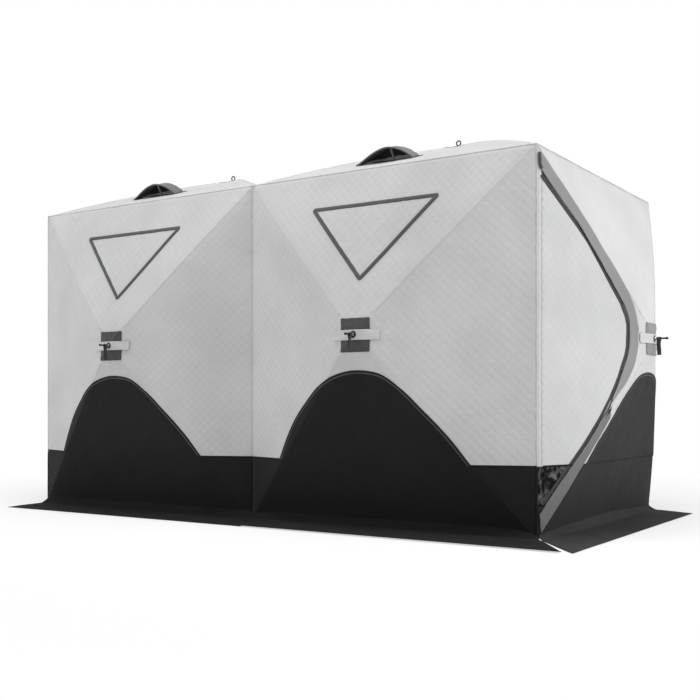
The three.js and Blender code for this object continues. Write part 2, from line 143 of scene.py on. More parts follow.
WALL = dict(lo=-HUBZ, hi=EAVE - HUBZ, apex=0.287, peak=0.300, bow=0.016)
END = dict(WALL, apex=0.305, peak=0.318)
ROOF = dict(lo=-DH, hi=DH, apex=0.285, peak=0.298, bow=0.026)
PANELS = {
    "front_left": Panel("front_left", (-UH, -DH, HUBZ), (1, 0, 0), (0, 0, 1), (0, -1, 0), **WALL),
    "front_right": Panel("front_right", (UH, -DH, HUBZ), (1, 0, 0), (0, 0, 1), (0, -1, 0), **WALL),
    "back_left": Panel("back_left", (-UH, DH, HUBZ), (-1, 0, 0), (0, 0, 1), (0, 1, 0), **WALL),
    "back_right": Panel("back_right", (UH, DH, HUBZ), (-1, 0, 0), (0, 0, 1), (0, 1, 0), **WALL),
    "left_end": Panel("left_end", (-2 * UH, 0, HUBZ), (0, -1, 0), (0, 0, 1), (-1, 0, 0), **END),
    "right_end": Panel("right_end", (2 * UH, 0, HUBZ), (0, 1, 0), (0, 0, 1), (1, 0, 0), **END),
    "roof_left": Panel("roof_left", (-UH, 0, EAVE), (1, 0, 0), (0, 1, 0), (0, 0, 1), **ROOF),
    "roof_right": Panel("roof_right", (UH, 0, EAVE), (1, 0, 0), (0, 1, 0), (0, 0, 1), **ROOF),
}
NODE_OF = {"front_left": "wall_front", "front_right": "wall_front", "back_left": "wall_back",
           "back_right": "wall_back", "left_end": "wall_left_end", "right_end": "wall_right_end",
           "roof_left": "roof", "roof_right": "roof"}

# --------------------------------------------------------------- materials
def material(name):
    mat = bpy.data.materials.new(name)
    mat.use_nodes = True
    nt = mat.node_tree
    nt.nodes.clear()
    out = nt.nodes.new("ShaderNodeOutputMaterial")
    bs = nt.nodes.new("ShaderNodeBsdfPrincipled")
    nt.links.new(bs.outputs[0], out.inputs[0])
    return mat, nt, bs


class N:
    """Short hand for building node trees."""

    def __init__(self, nt):
        self.nt = nt

    def node(self, kind, **props):
        n = self.nt.nodes.new(kind)
        for k, v in props.items():
            setattr(n, k, v)
        return n

    def put(self, socket, value):
        if isinstance(value, bpy.types.NodeSocket):
            self.nt.links.new(value, socket)
        elif value is not None:
            socket.default_value = value

    def math(self, op, a, b=None, c=None):
        n = self.node("ShaderNodeMath", operation=op)
        for i, x in enumerate((a, b, c)):
            if x is not None:
                self.put(n.inputs[i], x)
        return n.outputs[0]

    def mix(self, f, a, b):
        n = self.node("ShaderNodeMix", data_type="RGBA")
        self.put(n.inputs[0], f)
        self.put(n.inputs[6], a if not isinstance(a, tuple) else (*a, 1))
        self.put(n.inputs[7], b if not isinstance(b, tuple) else (*b, 1))
        return n.outputs[2]

    def ramp(self, x, stops):
        n = self.node("ShaderNodeValToRGB")
        e = n.color_ramp.elements
        while len(e) < len(stops):
            e.new(0.5)
        for el, (p, c) in zip(e, stops):
            el.position = p
            el.color = (c, c, c, 1) if not isinstance(c, tuple) else (*c, 1)
        self.put(n.inputs[0], x)
        return n.outputs[0]

    def noise(self, vec, scale, detail=3.0, rough=0.55, distort=0.0):
        n = self.node("ShaderNodeTexNoise")
        self.put(n.inputs["Vector"], vec)
        n.inputs["Scale"].default_value = scale
        n.inputs["Detail"].default_value = detail
        n.inputs["Roughness"].default_value = rough
        n.inputs["Distortion"].default_value = distort
        return n.outputs[0]

    def bump(self, height, dist, strength=1.0, normal=None):
        n = self.node("ShaderNodeBump")
        n.inputs["Distance"].default_value = dist
        n.inputs["Strength"].default_value = strength
        self.put(n.inputs["Height"], height)
        if normal is not None:
            self.put(n.inputs["Normal"], normal)
        return n.outputs[0]


def quilt_height(k, uv, pitch):
    """Puffed diamonds between stitched lines, from UV in metres: (height, on-line mask)."""
    sep = k.node("ShaderNodeSeparateXYZ")
    k.put(sep.inputs[0], uv)
    x, y = sep.outputs[0], sep.outputs[1]
    p = math.sqrt(2) * pitch
    a = k.math("DIVIDE", k.math("ADD", x, y), p)
    b = k.math("DIVIDE", k.math("SUBTRACT", x, y), p)
    fa = k.math("PINGPONG", a, 0.5)
    fb = k.math("PINGPONG", b, 0.5)
    la = k.math("POWER", k.math("MULTIPLY", fa, 2.0), 0.5)
    lb = k.math("POWER", k.math("MULTIPLY", fb, 2.0), 0.5)
    return k.math("MULTIPLY", la, lb), k.math("MINIMUM", fa, fb)


def cloth(name, base, rough=0.78, quilt=None, quilt_depth=0.0016, sheen=0.25, vary=0.06,
          crumple=0.004, weave=0.00025, grime=0.0, spec=0.35, mottle=None):
    mat, nt, bs = material(name)
    k = N(nt)
    uvn = k.node("ShaderNodeUVMap")
    uvn.uv_map = "UVMap"
    uv = uvn.outputs[0]
    tc = k.node("ShaderNodeTexCoord").outputs["Object"]
    dark = tuple(c * (1 - vary) for c in base)
    light = tuple(min(1, c * (1 + vary)) for c in base)
    n1 = k.noise(tc, 2.3, 4, 0.6)
    col = k.mix(k.ramp(n1, [(0.35, 0.0), (0.65, 1.0)]), dark, light)
    # short flecks of the weave
    n2 = k.noise(tc, 160, 2, 0.7)
    col = k.mix(k.math("MULTIPLY", k.ramp(n2, [(0.42, 0.0), (0.72, 1.0)]), 0.22), col, tuple(c * (1 - 1.6 * vary) for c in base))
    if mottle:
        m1 = k.noise(tc, 22, 3, 0.6, 0.5)
        m2 = k.noise(tc, 9, 3, 0.6, 0.3)
        mask = k.math("MULTIPLY", k.ramp(m1, [(0.44, 0.0), (0.62, 1.0)]), k.ramp(m2, [(0.34, 0.45), (0.56, 1.0)]))
        col = k.mix(mask, col, mottle)
    if grime:
        sep = k.node("ShaderNodeSeparateXYZ")
        k.put(sep.inputs[0], tc)
        low = k.ramp(sep.outputs[2], [(0.0, 1.0), (0.10, 0.0)])
        g = k.math("MULTIPLY", k.math("MULTIPLY", low, k.noise(tc, 14, 4)), grime)
        col = k.mix(g, col, (0.30, 0.30, 0.30))
    height = None
    normal = None
    if quilt:
        q, line = quilt_height(k, uv, quilt)
        stitch = k.ramp(line, [(0.0, 1.0), (0.045, 0.0)])
        col = k.mix(k.math("MULTIPLY", stitch, 0.16), col, tuple(c * 0.55 for c in base))
        normal = k.bump(q, quilt_depth, 1.0)
    big = k.noise(tc, 7.0, 5, 0.62, 0.4)
    normal = k.bump(big, crumple * 2.2, 0.6, normal)
    fine = k.noise(tc, 34, 4, 0.6, 0.2)
    normal = k.bump(fine, crumple * 0.45, 0.6, normal)
    # the over-and-under of the yarns
    wx = k.node("ShaderNodeTexWave", wave_type="BANDS", bands_direction="X")
    wy = k.node("ShaderNodeTexWave", wave_type="BANDS", bands_direction="Y")
    for w in (wx, wy):
        k.put(w.inputs["Vector"], uv)
        w.inputs["Scale"].default_value = 120
        w.inputs["Distortion"].default_value = 0.4
    weft = k.math("MAXIMUM", wx.outputs[1], wy.outputs[1])
    normal = k.bump(weft, weave, 0.5, normal)
    nt.links.new(normal, bs.inputs["Normal"])
    nt.links.new(col, bs.inputs["Base Color"])
    rg = k.math("ADD", k.math("MULTIPLY", k.noise(tc, 18, 3), 0.16), rough - 0.08)
    nt.links.new(rg, bs.inputs["Roughness"])
    bs.inputs["Sheen Weight"].default_value = sheen
    bs.inputs["Sheen Roughness"].default_value = 0.5
    bs.inputs["Specular IOR Level"].default_value = spec
    return mat


def webbing(name, base, ribs=900):
    mat, nt, bs = material(name)
    k = N(nt)
    uvn = k.node("ShaderNodeUVMap")
    uvn.uv_map = "UVMap"
    w = k.node("ShaderNodeTexWave", wave_type="BANDS", bands_direction="X")
    k.put(w.inputs["Vector"], uvn.outputs[0])
    w.inputs["Scale"].default_value = ribs / (2 * math.pi)
    w.inputs["Distortion"].default_value = 0.3
    tc = k.node("ShaderNodeTexCoord").outputs["Object"]
    n = k.noise(tc, 60, 3)
    col = k.mix(k.math("MULTIPLY", w.outputs[1], 0.5), base, tuple(c * 1.9 + 0.004 for c in base))
    col = k.mix(k.math("MULTIPLY", n, 0.3), col, tuple(c * 0.7 for c in base))
    nt.links.new(col, bs.inputs["Base Color"])
    nt.links.new(k.bump(w.outputs[1], 0.0006, 0.8), bs.inputs["Normal"])
    bs.inputs["Roughness"].default_value = 0.72
    bs.inputs["Sheen Weight"].default_value = 0.2
    return mat


def plastic(name, base, rough=0.42, grain=420, metal=0.0, wear=0.15, spec=0.5):
    mat, nt, bs = material(name)
    k = N(nt)
    tc = k.node("ShaderNodeTexCoord").outputs["Object"]
    n = k.noise(tc, 35, 4)
    geo = k.node("ShaderNodeNewGeometry")
    edge = k.ramp(geo.outputs["Pointiness"], [(0.50, 0.0), (0.58, 1.0)])
    col = k.mix(k.math("MULTIPLY", k.ramp(n, [(0.35, 0.0), (0.7, 1.0)]), 0.35), base, tuple(min(1, c * 1.35 + 0.004) for c in base))
    col = k.mix(k.math("MULTIPLY", edge, wear), col, tuple(min(1, c * 2.2 + 0.05) for c in base))
    nt.links.new(col, bs.inputs["Base Color"])
    r = k.math("ADD", k.math("MULTIPLY", k.noise(tc, 80, 3), 0.2), rough - 0.1)
    nt.links.new(r, bs.inputs["Roughness"])
    nt.links.new(k.bump(k.noise(tc, grain, 2), 0.0003, 0.35), bs.inputs["Normal"])
    bs.inputs["Metallic"].default_value = metal
    bs.inputs["Specular IOR Level"].default_value = spec
    return mat


M_SKIN = cloth("quilted_skin", (0.515, 0.517, 0.520), quilt=0.036, quilt_depth=0.0016, crumple=0.0034)
M_ROOF = cloth("roof_skin", (0.515, 0.517, 0.520), quilt=0.036, quilt_depth=0.0010, crumple=0.0030)
M_DOOR = cloth("door_quilt", (0.500, 0.502, 0.505), quilt=0.036, quilt_depth=0.0011, crumple=0.0030)
M_WINDOW = cloth("window_quilt", (0.505, 0.507, 0.510), quilt=0.036, quilt_depth=0.0009, crumple=0.0030)
M_BLACK = cloth("black_oxford", (0.0108, 0.0109, 0.0112), rough=0.82, crumple=0.0034, vary=0.12, sheen=0.04, spec=0.16, grime=0.03)
M_SKIRT = cloth("skirt_oxford", (0.0125, 0.0126, 0.0130), rough=0.86, crumple=0.0046, vary=0.14, sheen=0.02, spec=0.10, grime=0.0)
# a lighter copy of the skirt cloth for the end strip, which faces the light: painted light
M_SKIRT_PAINTED_LIT = cloth("skirt_oxford_end", (0.0370, 0.0372, 0.0378), rough=0.86, crumple=0.0046, vary=0.14, sheen=0.02, spec=0.12, grime=0.0)
# a lighter copy of the black oxford for the end walls, which face the key light: painted light
M_BLACK_PAINTED_LIT = cloth("black_oxford_end", (0.0120, 0.0121, 0.0125), rough=0.80, crumple=0.0034, vary=0.12, sheen=0.06, spec=0.20, grime=0.03)
M_CAMO = cloth("mottled_black", (0.0022, 0.0022, 0.0023), rough=0.82, crumple=0.0030, vary=0.10, sheen=0.02, spec=0.10, mottle=(0.125, 0.125, 0.128))
# painted highlight: a thin light-grey line beside the arch piping that stands in for its highlight
M_PIPE_HIGHLIGHT = cloth("piping_painted_highlight", (0.078, 0.079, 0.081), rough=0.72, crumple=0.0012, vary=0.10, sheen=0.15)
M_WELT = cloth("black_welt", (0.0125, 0.0126, 0.0130), rough=0.70, crumple=0.0012, vary=0.10, sheen=0.05, spec=0.25)
M_TRIM = cloth("grey_binding", (0.062, 0.063, 0.065), rough=0.74, crumple=0.0014, vary=0.10, sheen=0.2)
M_FLAP = cloth("storm_flap", (0.215, 0.216, 0.219), rough=0.76, crumple=0.0030, vary=0.07, sheen=0.2)
M_FLAP_LOW = cloth("storm_flap_low", (0.136, 0.137, 0.139), rough=0.76, crumple=0.0030, vary=0.07, sheen=0.2)
M_PATCH = cloth("hub_patch", (0.052, 0.053, 0.055), rough=0.78, crumple=0.0024, vary=0.12, sheen=0.15)
# a lighter copy of the hub patch for the end walls, which face the key light: painted light
M_PATCH_PAINTED_LIT = cloth("hub_patch_end", (0.225, 0.226, 0.229), rough=0.78, crumple=0.0024, vary=0.10, sheen=0.15)
M_STRIP = cloth("cover_strip", (0.505, 0.507, 0.510), rough=0.76, crumple=0.0022, vary=0.05, sheen=0.2)
M_SEAM = cloth("seam_binding", (0.510, 0.512, 0.515), rough=0.76, crumple=0.0012, vary=0.07, sheen=0.2)
# painted light: seam and eave binding made much lighter than the skin so the tubes' own shade does not show
M_SEAM_PAINTED_LIGHT = cloth("binding_painted_light", (0.700, 0.702, 0.705), rough=0.76, crumple=0.0012, vary=0.05, sheen=0.2)
M_HOOD = cloth("vent_hood_cloth", (0.135, 0.136, 0.139), rough=0.76, crumple=0.0034, vary=0.10, sheen=0.2)
M_LINING = cloth("vent_lining", (0.030, 0.030, 0.031), rough=0.8, crumple=0.002, vary=0.1, sheen=0.1)
M_WEB = webbing("black_webbing", (0.012, 0.012, 0.013))
M_ZIP = webbing("zip_tape", (0.020, 0.020, 0.022), ribs=1400)
M_HUB = plastic("hub_nylon", (0.0065, 0.0067, 0.0073), rough=0.45, spec=0.35)
M_ROD = plastic("fibreglass", (0.020, 0.021, 0.024), rough=0.30, grain=160, wear=0.05)
M_CAP = plastic("moulded_grey", (0.10, 0.10, 0.105), rough=0.5)
M_STEEL = plastic("zinc_plate", (0.62, 0.62, 0.63), rough=0.32, metal=1.0, wear=0.05)
M_DIECAST = plastic("die_cast", (0.30, 0.30, 0.31), rough=0.36, metal=1.0)
M_MESH = cloth("insect_mesh", (0.035, 0.035, 0.036), rough=0.8, quilt=0.006, quilt_depth=0.0010, crumple=0.001, vary=0.15)

# ------------------------------------------------------------ mesh building
def make(name, verts, faces, mat, uv=None, smooth=True, mats=None, face_mat=None):
    me = bpy.data.meshes.new(name)
    me.from_pydata([tuple(map(float, v)) for v in verts], [], [tuple(map(int, f)) for f in faces])
    me.update()
    for m_ in (mats or [mat]):
        me.materials.append(m_)
    if face_mat is not None:
        me.polygons.foreach_set("material_index", np.asarray(face_mat, np.int32))
    if smooth:
        me.polygons.foreach_set("use_smooth", np.ones(len(me.polygons), bool))
    layer = me.uv_layers.new(name="UVMap")
    if uv is None:
        co = np.array([v.co for v in me.vertices]).reshape(-1, 3)
        uv = co[:, [0, 2]] if np.ptp(co[:, 2]) > 0.2 * np.ptp(co[:, 0]) else co[:, :2]
    idx = np.empty(len(me.loops), np.int32)
    me.loops.foreach_get("vertex_index", idx)
    layer.data.foreach_set("uv", np.asarray(uv, np.float32)[idx].ravel())
    ob = bpy.data.objects.new(name, me)
    bpy.context.scene.collection.objects.link(ob)
    return ob


def bake_modifiers(ob):
    bpy.context.view_layer.update()
    dg = bpy.context.evaluated_depsgraph_get()
    me = bpy.data.meshes.new_from_object(ob.evaluated_get(dg), preserve_all_data_layers=True, depsgraph=dg)
    old = ob.data
    ob.modifiers.clear()
    ob.data = me
    bpy.data.meshes.remove(old)
    return ob


def solidify(ob, thickness, offset=-1.0):
    md = ob.modifiers.new("thickness", "SOLIDIFY")
    md.thickness = thickness
    md.offset = offset
    md.use_even_offset = False
    return bake_modifiers(ob)


def panel_blend(ob, p):
    """The piece is part of panel p's skin: its transform is baked, and its weights towards the hub are worked out but
    not kept.
    """
    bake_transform(ob)
    co = np.array([v.co for v in ob.data.vertices], float).reshape(-1, 3) - p.at
    w = p.weight(co @ p.u, co @ p.v)
    return ob


def resample(poly, step, close=False):
    pts = [np.array(q, float) for q in poly]
    if close:
        pts.append(pts[0])
    out = []
    for a, b in zip(pts[:-1], pts[1:]):
        n = max(1, int(math.ceil(np.linalg.norm(b - a) / step)))
        out += [a + (b - a) * i / n for i in range(n)]
    if not close:
        out.append(pts[-1])
    return np.array(out)


def spline(poly, n=12, close=False):
    """Catmull-Rom through the points."""
    pts = [np.array(q, float) for q in poly]
    m = len(pts)
    out = []
    for i in range(m if close else m - 1):
        p1, p2 = pts[i], pts[(i + 1) % m]
        p0 = pts[(i - 1) % m] if close or i > 0 else 2 * p1 - p2
        p3 = pts[(i + 2) % m] if close or i + 2 < m else 2 * p2 - p1
        for j in range(n):
            t = j / n
            out.append(0.5 * ((2 * p1) + (-p0 + p2) * t + (2 * p0 - 5 * p1 + 4 * p2 - p3) * t * t
                              + (-p0 + 3 * p1 - 3 * p2 + p3) * t ** 3))
    if not close:
        out.append(pts[-1])
    return np.array(out)


def inside(poly, x, y):
    """Which points lie in the polygon."""
    x, y = np.asarray(x), np.asarray(y)
    c = np.zeros(x.shape, bool)
    n = len(poly)
    for i in range(n):
        x1, y1 = poly[i]
        x2, y2 = poly[(i + 1) % n]
        hit = (y1 > y) != (y2 > y)
        with np.errstate(divide="ignore", invalid="ignore"):
            xx = (x2 - x1) * (y - y1) / ((y2 - y1) if y2 != y1 else 1e-12) + x1
        c ^= hit & (x < xx)
    return c


def triangulate(rect, lines, step, extra=None):
    """Fills a rectangle of the plane with triangles that have the given lines as edges."""
    x0, x1, y0, y1 = rect
    nx, ny = max(2, int(round((x1 - x0) / step))), max(2, int(round((y1 - y0) / step)))
    gx, gy = np.meshgrid(np.linspace(x0, x1, nx + 1), np.linspace(y0, y1, ny + 1))
    gx = gx.copy()
    gx[1::2, 1:-1] += 0.5 * (x1 - x0) / nx * 0.98
    pts = np.stack([gx.ravel(), gy.ravel()], 1)
    inner = (pts[:, 0] > x0 + 1e-6) & (pts[:, 0] < x1 - 1e-6) & (pts[:, 1] > y0 + 1e-6) & (pts[:, 1] < y1 - 1e-6)
    pts = pts[inner]
    border = resample([(x0, y0), (x1, y0), (x1, y1), (x0, y1)], step, close=True)
    all_lines = [(border, True)] + [(np.array(l), c) for l, c in lines]
    cpts = np.concatenate([l for l, _ in all_lines])
    # drop grid points that would make slivers beside a line
    keep = np.ones(len(pts), bool)
    for i in range(0, len(pts), 800):
        d = np.min(np.linalg.norm(pts[i:i + 800, None] - cpts[None], axis=2), axis=1)
        keep[i:i + 800] = d > step * 0.45
    pts = pts[keep]
    verts, edges = [tuple(q) for q in pts], []
    for l, c in all_lines:
        s = len(verts)
        verts += [tuple(q) for q in l]
        n = len(l)
        edges += [(s + i, s + i + 1) for i in range(n - 1)] + ([(s + n - 1, s)] if c else [])
    vo, eo, fo, *_ = delaunay_2d_cdt([Vector(q) for q in verts], edges, [], 0, 1e-5)
    v = np.array([(q[0], q[1]) for q in vo])
    f = np.array([list(t) for t in fo if len(t) == 3])
    a, b, c = v[f[:, 0]], v[f[:, 1]], v[f[:, 2]]
    area = (b[:, 0] - a[:, 0]) * (c[:, 1] - a[:, 1]) - (c[:, 0] - a[:, 0]) * (b[:, 1] - a[:, 1])
    f[area < 0] = f[area < 0][:, ::-1]
    f = f[np.abs(area) > 1e-9]
    return v, f


def pick(v, f, mask):
    used = np.unique(f[mask])
    re = -np.ones(len(v), int)
    re[used] = np.arange(len(used))
    return v[used], re[f[mask]]


def from_uv(name, p, v, f, mat, lift=0.0, thickness=T_SKIN, **kw):
    co = p.on(v[:, 0], v[:, 1], lift)
    ob = make(name, co, f, mat, uv=v, **kw)
    if thickness:
        solidify(ob, thickness)
    return ob


def strip(name, p, line, width, rise, mat, close=False, base=-0.0008, shape="flat", step=0.012, offset=0.0, lift=0.0):
    """A sewn strip that lies on the skin of panel p along a line of (u, v) points."""
    line = resample(line, step, close)
    n = len(line)
    nxt = np.roll(line, -1, 0) if close else np.vstack([line[1:], 2 * line[-1] - line[-2]])
    prv = np.roll(line, 1, 0) if close else np.vstack([2 * line[0] - line[1], line[:-1]])
    tan = nxt - prv
    tan /= np.maximum(np.linalg.norm(tan, axis=1), 1e-9)[:, None]
    side = np.stack([-tan[:, 1], tan[:, 0]], 1)
    w = width / 2
    if shape == "round":
        prof = [(math.cos(a) * w, max(math.sin(a), -0.25) * rise) for a in np.linspace(0, 2 * math.pi, 10, endpoint=False)]
        prof = [(x, y if y > 0 else base) for x, y in prof]
    else:
        e = min(0.0025, w * 0.4)
        prof = [(-w, base), (-w, rise * 0.45), (-w + e, rise), (-w * 0.33, rise * 1.12), (w * 0.33, rise * 1.12),
                (w - e, rise), (w, rise * 0.45), (w, base)]
    m = len(prof)
    verts, uvs = [], []
    run = np.concatenate([[0], np.cumsum(np.linalg.norm(np.diff(line, axis=0), axis=1))])
    for (x, y) in prof:
        q = line + side * (x + offset)
        verts.append(p.world(q[:, 0], q[:, 1], p.height(q[:, 0], q[:, 1]) + y + lift))
        uvs.append(np.stack([run, np.full(n, x)], 1))
    verts, uvs = np.concatenate(verts), np.concatenate(uvs)
    faces = []
    last = n if close else n - 1
    for i in range(last):
        j = (i + 1) % n
        for k_ in range(m):
            l_ = (k_ + 1) % m
            faces.append((k_ * n + i, l_ * n + i, l_ * n + j, k_ * n + j))
    if not close:
        faces.append([k_ * n for k_ in range(m)][::-1])
        faces.append([k_ * n + n - 1 for k_ in range(m)])
    ob = make(name, verts, faces, mat, uv=uvs)
    fix_normals(ob)
    return ob


def fix_normals(ob):
    bm = bmesh.new()
    bm.from_mesh(ob.data)
    bmesh.ops.recalc_face_normals(bm, faces=bm.faces)
    bm.to_mesh(ob.data)
    bm.free()
    ob.data.update()


def join_as(name, obs):
    """Several meshes as one piece."""
    verts, faces, uvs, mats, fm = [], [], [], [], []
    for o in obs:
        s = len(verts)
        mw = o.matrix_world
        verts += [tuple(mw @ v.co) for v in o.data.vertices]
        remap = []
        for mt in o.data.materials:
            if mt not in mats:
                mats.append(mt)
            remap.append(mats.index(mt))
        luv = o.data.uv_layers[0].data
        per = {}
        for poly in o.data.polygons:
            faces.append([s + i for i in poly.vertices])
            fm.append(remap[poly.material_index])
            for li, vi in zip(poly.loop_indices, poly.vertices):
                per[vi] = tuple(luv[li].uv)
        uvs += [per.get(i, (0, 0)) for i in range(len(o.data.vertices))]
    ob = make(name, verts, faces, None, uv=np.array(uvs), mats=mats, face_mat=fm)
    for o in obs:
        me = o.data
        bpy.data.objects.remove(o)
        bpy.data.meshes.remove(me)
    return ob


def ride(ob, body, *nodes, slot=None):
    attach(ob, body)
    if nodes:
        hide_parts(*nodes)
    return ob


def on_panel(ob, p):
    panel_blend(ob, p)
    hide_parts(NODE_OF[p.name])
    return ob

# ------------------------------------------------------------- wall skins
BAND_V = 0.362 - HUBZ
ARCH = spline([(u, z - HUBZ) for u, z in (
    (-0.618, 0.362), (-0.539, 0.500), (-0.459, 0.606), (-0.357, 0.700), (-0.272, 0.765), (-0.143, 0.824), (-0.016, 0.846),
    (0.118, 0.830), (0.205, 0.782), (0.280, 0.718), (0.350, 0.645), (0.430, 0.562), (0.510, 0.468), (0.588, 0.362))], 6)
# the arch of the end walls stands a little further along
ARCH_END = spline([(u, z - HUBZ) for u, z in (
    (-0.550, 0.362), (-0.480, 0.460), (-0.380, 0.570), (-0.288, 0.682), (-0.205, 0.760), (-0.108, 0.818), (0.030, 0.846),
    (0.160, 0.828), (0.260, 0.765), (0.345, 0.690), (0.430, 0.590), (0.515, 0.480), (0.590, 0.362))], 6)


def arch_of(p):
    return ARCH_END if p.name.endswith("_end") else ARCH
LEAN = math.atan2(0.318, 0.9)
CL = math.cos(LEAN)


def door_uv(pts):
    return np.array([(-0.9 + w * CL, z - HUBZ) for w, z in pts])


ZIP_UP = [(0.012, 1.938), (0.012, 1.85), (0.293, 1.605), (0.379, 1.529), (0.551, 1.339), (0.66, 1.225), (0.712, 1.15),
          (0.727, 1.062), (0.708, 0.94), (0.635, 0.803), (0.562, 0.692)]
ZIP_LOW = [(0.562, 0.692), (0.476, 0.582), (0.363, 0.457), (0.137, 0.24), (0.012, 0.115)]
DOOR_LINE = door_uv([(0.030, 1.832), (0.293, 1.605), (0.379, 1.529), (0.551, 1.339), (0.66, 1.225), (0.705, 1.16),
                     (0.724, 1.10), (0.7265, 1.05), (0.718, 0.985), (0.70, 0.925), (0.635, 0.803), (0.562, 0.692),
                     (0.476, 0.582), (0.363, 0.457), (0.137, 0.24), (0.030, 0.143)])


def lower_black(p, v, f, door=None):
    """Which triangles are the black lower band or the arch."""
    c = v[f].mean(1)
    low = c[:, 1] < BAND_V
    arch = inside([tuple(q) for q in resample(arch_of(p), 0.02)], c[:, 0], c[:, 1]) & ~low
    return low, arch


STEP = 0.021
HINGE_LINE = door_uv([(0.0045, 1.80), (0.030, 1.80), (0.030, 0.160), (0.0045, 0.160)])
door_parts = None
for name, p in PANELS.items():
    lines = []
    rect = (-UH, UH, p.lo, p.hi)
    if not p.roof:
        lines.append((resample([(-UH, BAND_V), (UH, BAND_V)], STEP), False))
        lines.append((resample(arch_of(p), 0.02), False))
        rect = (-UH, UH, p.lo, p.hi - 0.0005)
    if name == "right_end":
        lines.append((resample(DOOR_LINE, STEP, close=True), True))
        lines.append((resample(HINGE_LINE, STEP, close=True), True))
    holes = []
    if p.roof:
        w = 0.19
        y0, y1 = -0.640, -0.552
        cx = -0.14
        hole = [(cx - w, y0), (cx + w, y0), (cx + w, y1), (cx - w, y1)]
        lines.append((resample(hole, STEP, close=True), True))
        holes.append(hole)
    v, f = triangulate(rect, lines, STEP)
    c = v[f].mean(1)
    keep = np.ones(len(f), bool)
    for h in holes:
        keep &= ~inside(h, c[:, 0], c[:, 1])
    if name == "right_end":
        d = inside([tuple(q) for q in DOOR_LINE], c[:, 0], c[:, 1])
        door_parts = pick(v, f, d)
        keep &= ~d
        hg = inside([tuple(q) for q in HINGE_LINE], c[:, 0], c[:, 1]) & ~d
        hinge_parts = pick(v, f, hg)
        keep &= ~hg
    v, f = pick(v, f, keep)
    if p.roof:
        ob = from_uv("skin_" + name, p, v, f, M_ROOF)
    else:
        low, arch = lower_black(p, v, f)
        # the end walls' black band and arch take the lighter copy of the black oxford: painted light
        ob = from_uv("skin_" + name, p, v, f, None, mats=[M_SKIN, M_BLACK_PAINTED_LIT if name.endswith("_end") else M_BLACK], face_mat=(low | arch).astype(int))
    on_panel(ob, p)

# piping, band seams and ridge tapes on every panel
def ridge(p, su, sv, m0, m1):
    hi = p.hi if sv > 0 else -p.lo
    return [(su * UH * m0, sv * hi * m0), (su * UH * m1, sv * hi * m1)]


def clip_poly(line, poly, keep_inside):
    """The runs of a line inside or outside a polygon that are longer than three points."""
    line = np.array(line)
    ok = inside(poly, line[:, 0], line[:, 1]) == keep_inside
    best, cur = [], []
    runs = []
    for q, k_ in zip(line, ok):
        if k_:
            cur.append(q)
        else:
            if len(cur) > 3:
                runs.append(np.array(cur))
            cur = []
    if len(cur) > 3:
        runs.append(np.array(cur))
    return runs


DOOR_POLY = [tuple(q) for q in DOOR_LINE]
for name, p in PANELS.items():
    if p.roof:
        for su in (-1, 1):
            for sv in (-1, 1):
                s = strip(f"ridge_tape_{name}_{'r' if su > 0 else 'l'}{'b' if sv > 0 else 'f'}", p, ridge(p, su, sv, 0.10, 0.985), 0.010, 0.0008, M_SEAM)
                on_panel(s, p)
        continue
    arch = resample(arch_of(p), 0.012)
    band = resample([(-UH, BAND_V), (UH, BAND_V)], 0.014)
    if name == "right_end":
        runs = clip_poly(arch, DOOR_POLY, False)
        bruns = clip_poly(band, DOOR_POLY, False)
    else:
        runs, bruns = [arch], [band]
    for i, r in enumerate(runs):
        on_panel(strip(f"arch_piping_{name}_{i}", p, r, 0.0125, 0.0042, M_WELT, shape="round"), p)
        # a thin lighter strip inside the arch piping: a painted highlight
        on_panel(strip(f"arch_topstitch_{name}_{i}", p, r, 0.0052, 0.0022, M_PIPE_HIGHLIGHT, shape="round", offset=-0.0090), p)
    for i, r in enumerate(bruns):
        on_panel(strip(f"band_seam_{name}_{i}", p, r, 0.010, 0.0022, M_BLACK, shape="round"), p)
    for su in (-1, 1):
        for sv in (-1, 1):
            m1 = 0.985
            line = resample(ridge(p, su, sv, 0.115, m1), 0.016)
            if name == "right_end" and su < 0:
                line = line
            lower = line[:, 1] < BAND_V
            tag = f"{name}_{'r' if su > 0 else 'l'}{'u' if sv > 0 else 'd'}"
            inarch = inside([tuple(q) for q in resample(arch_of(p), 0.02)], line[:, 0], line[:, 1]) | lower
            for kind, sel, mt in (("light", ~inarch, M_SEAM), ("dark", inarch, M_BLACK)):
                if sel.sum() > 3:
                    on_panel(strip(f"ridge_tape_{tag}_{kind}", p, line[sel], 0.008, 0.0005, mt), p)

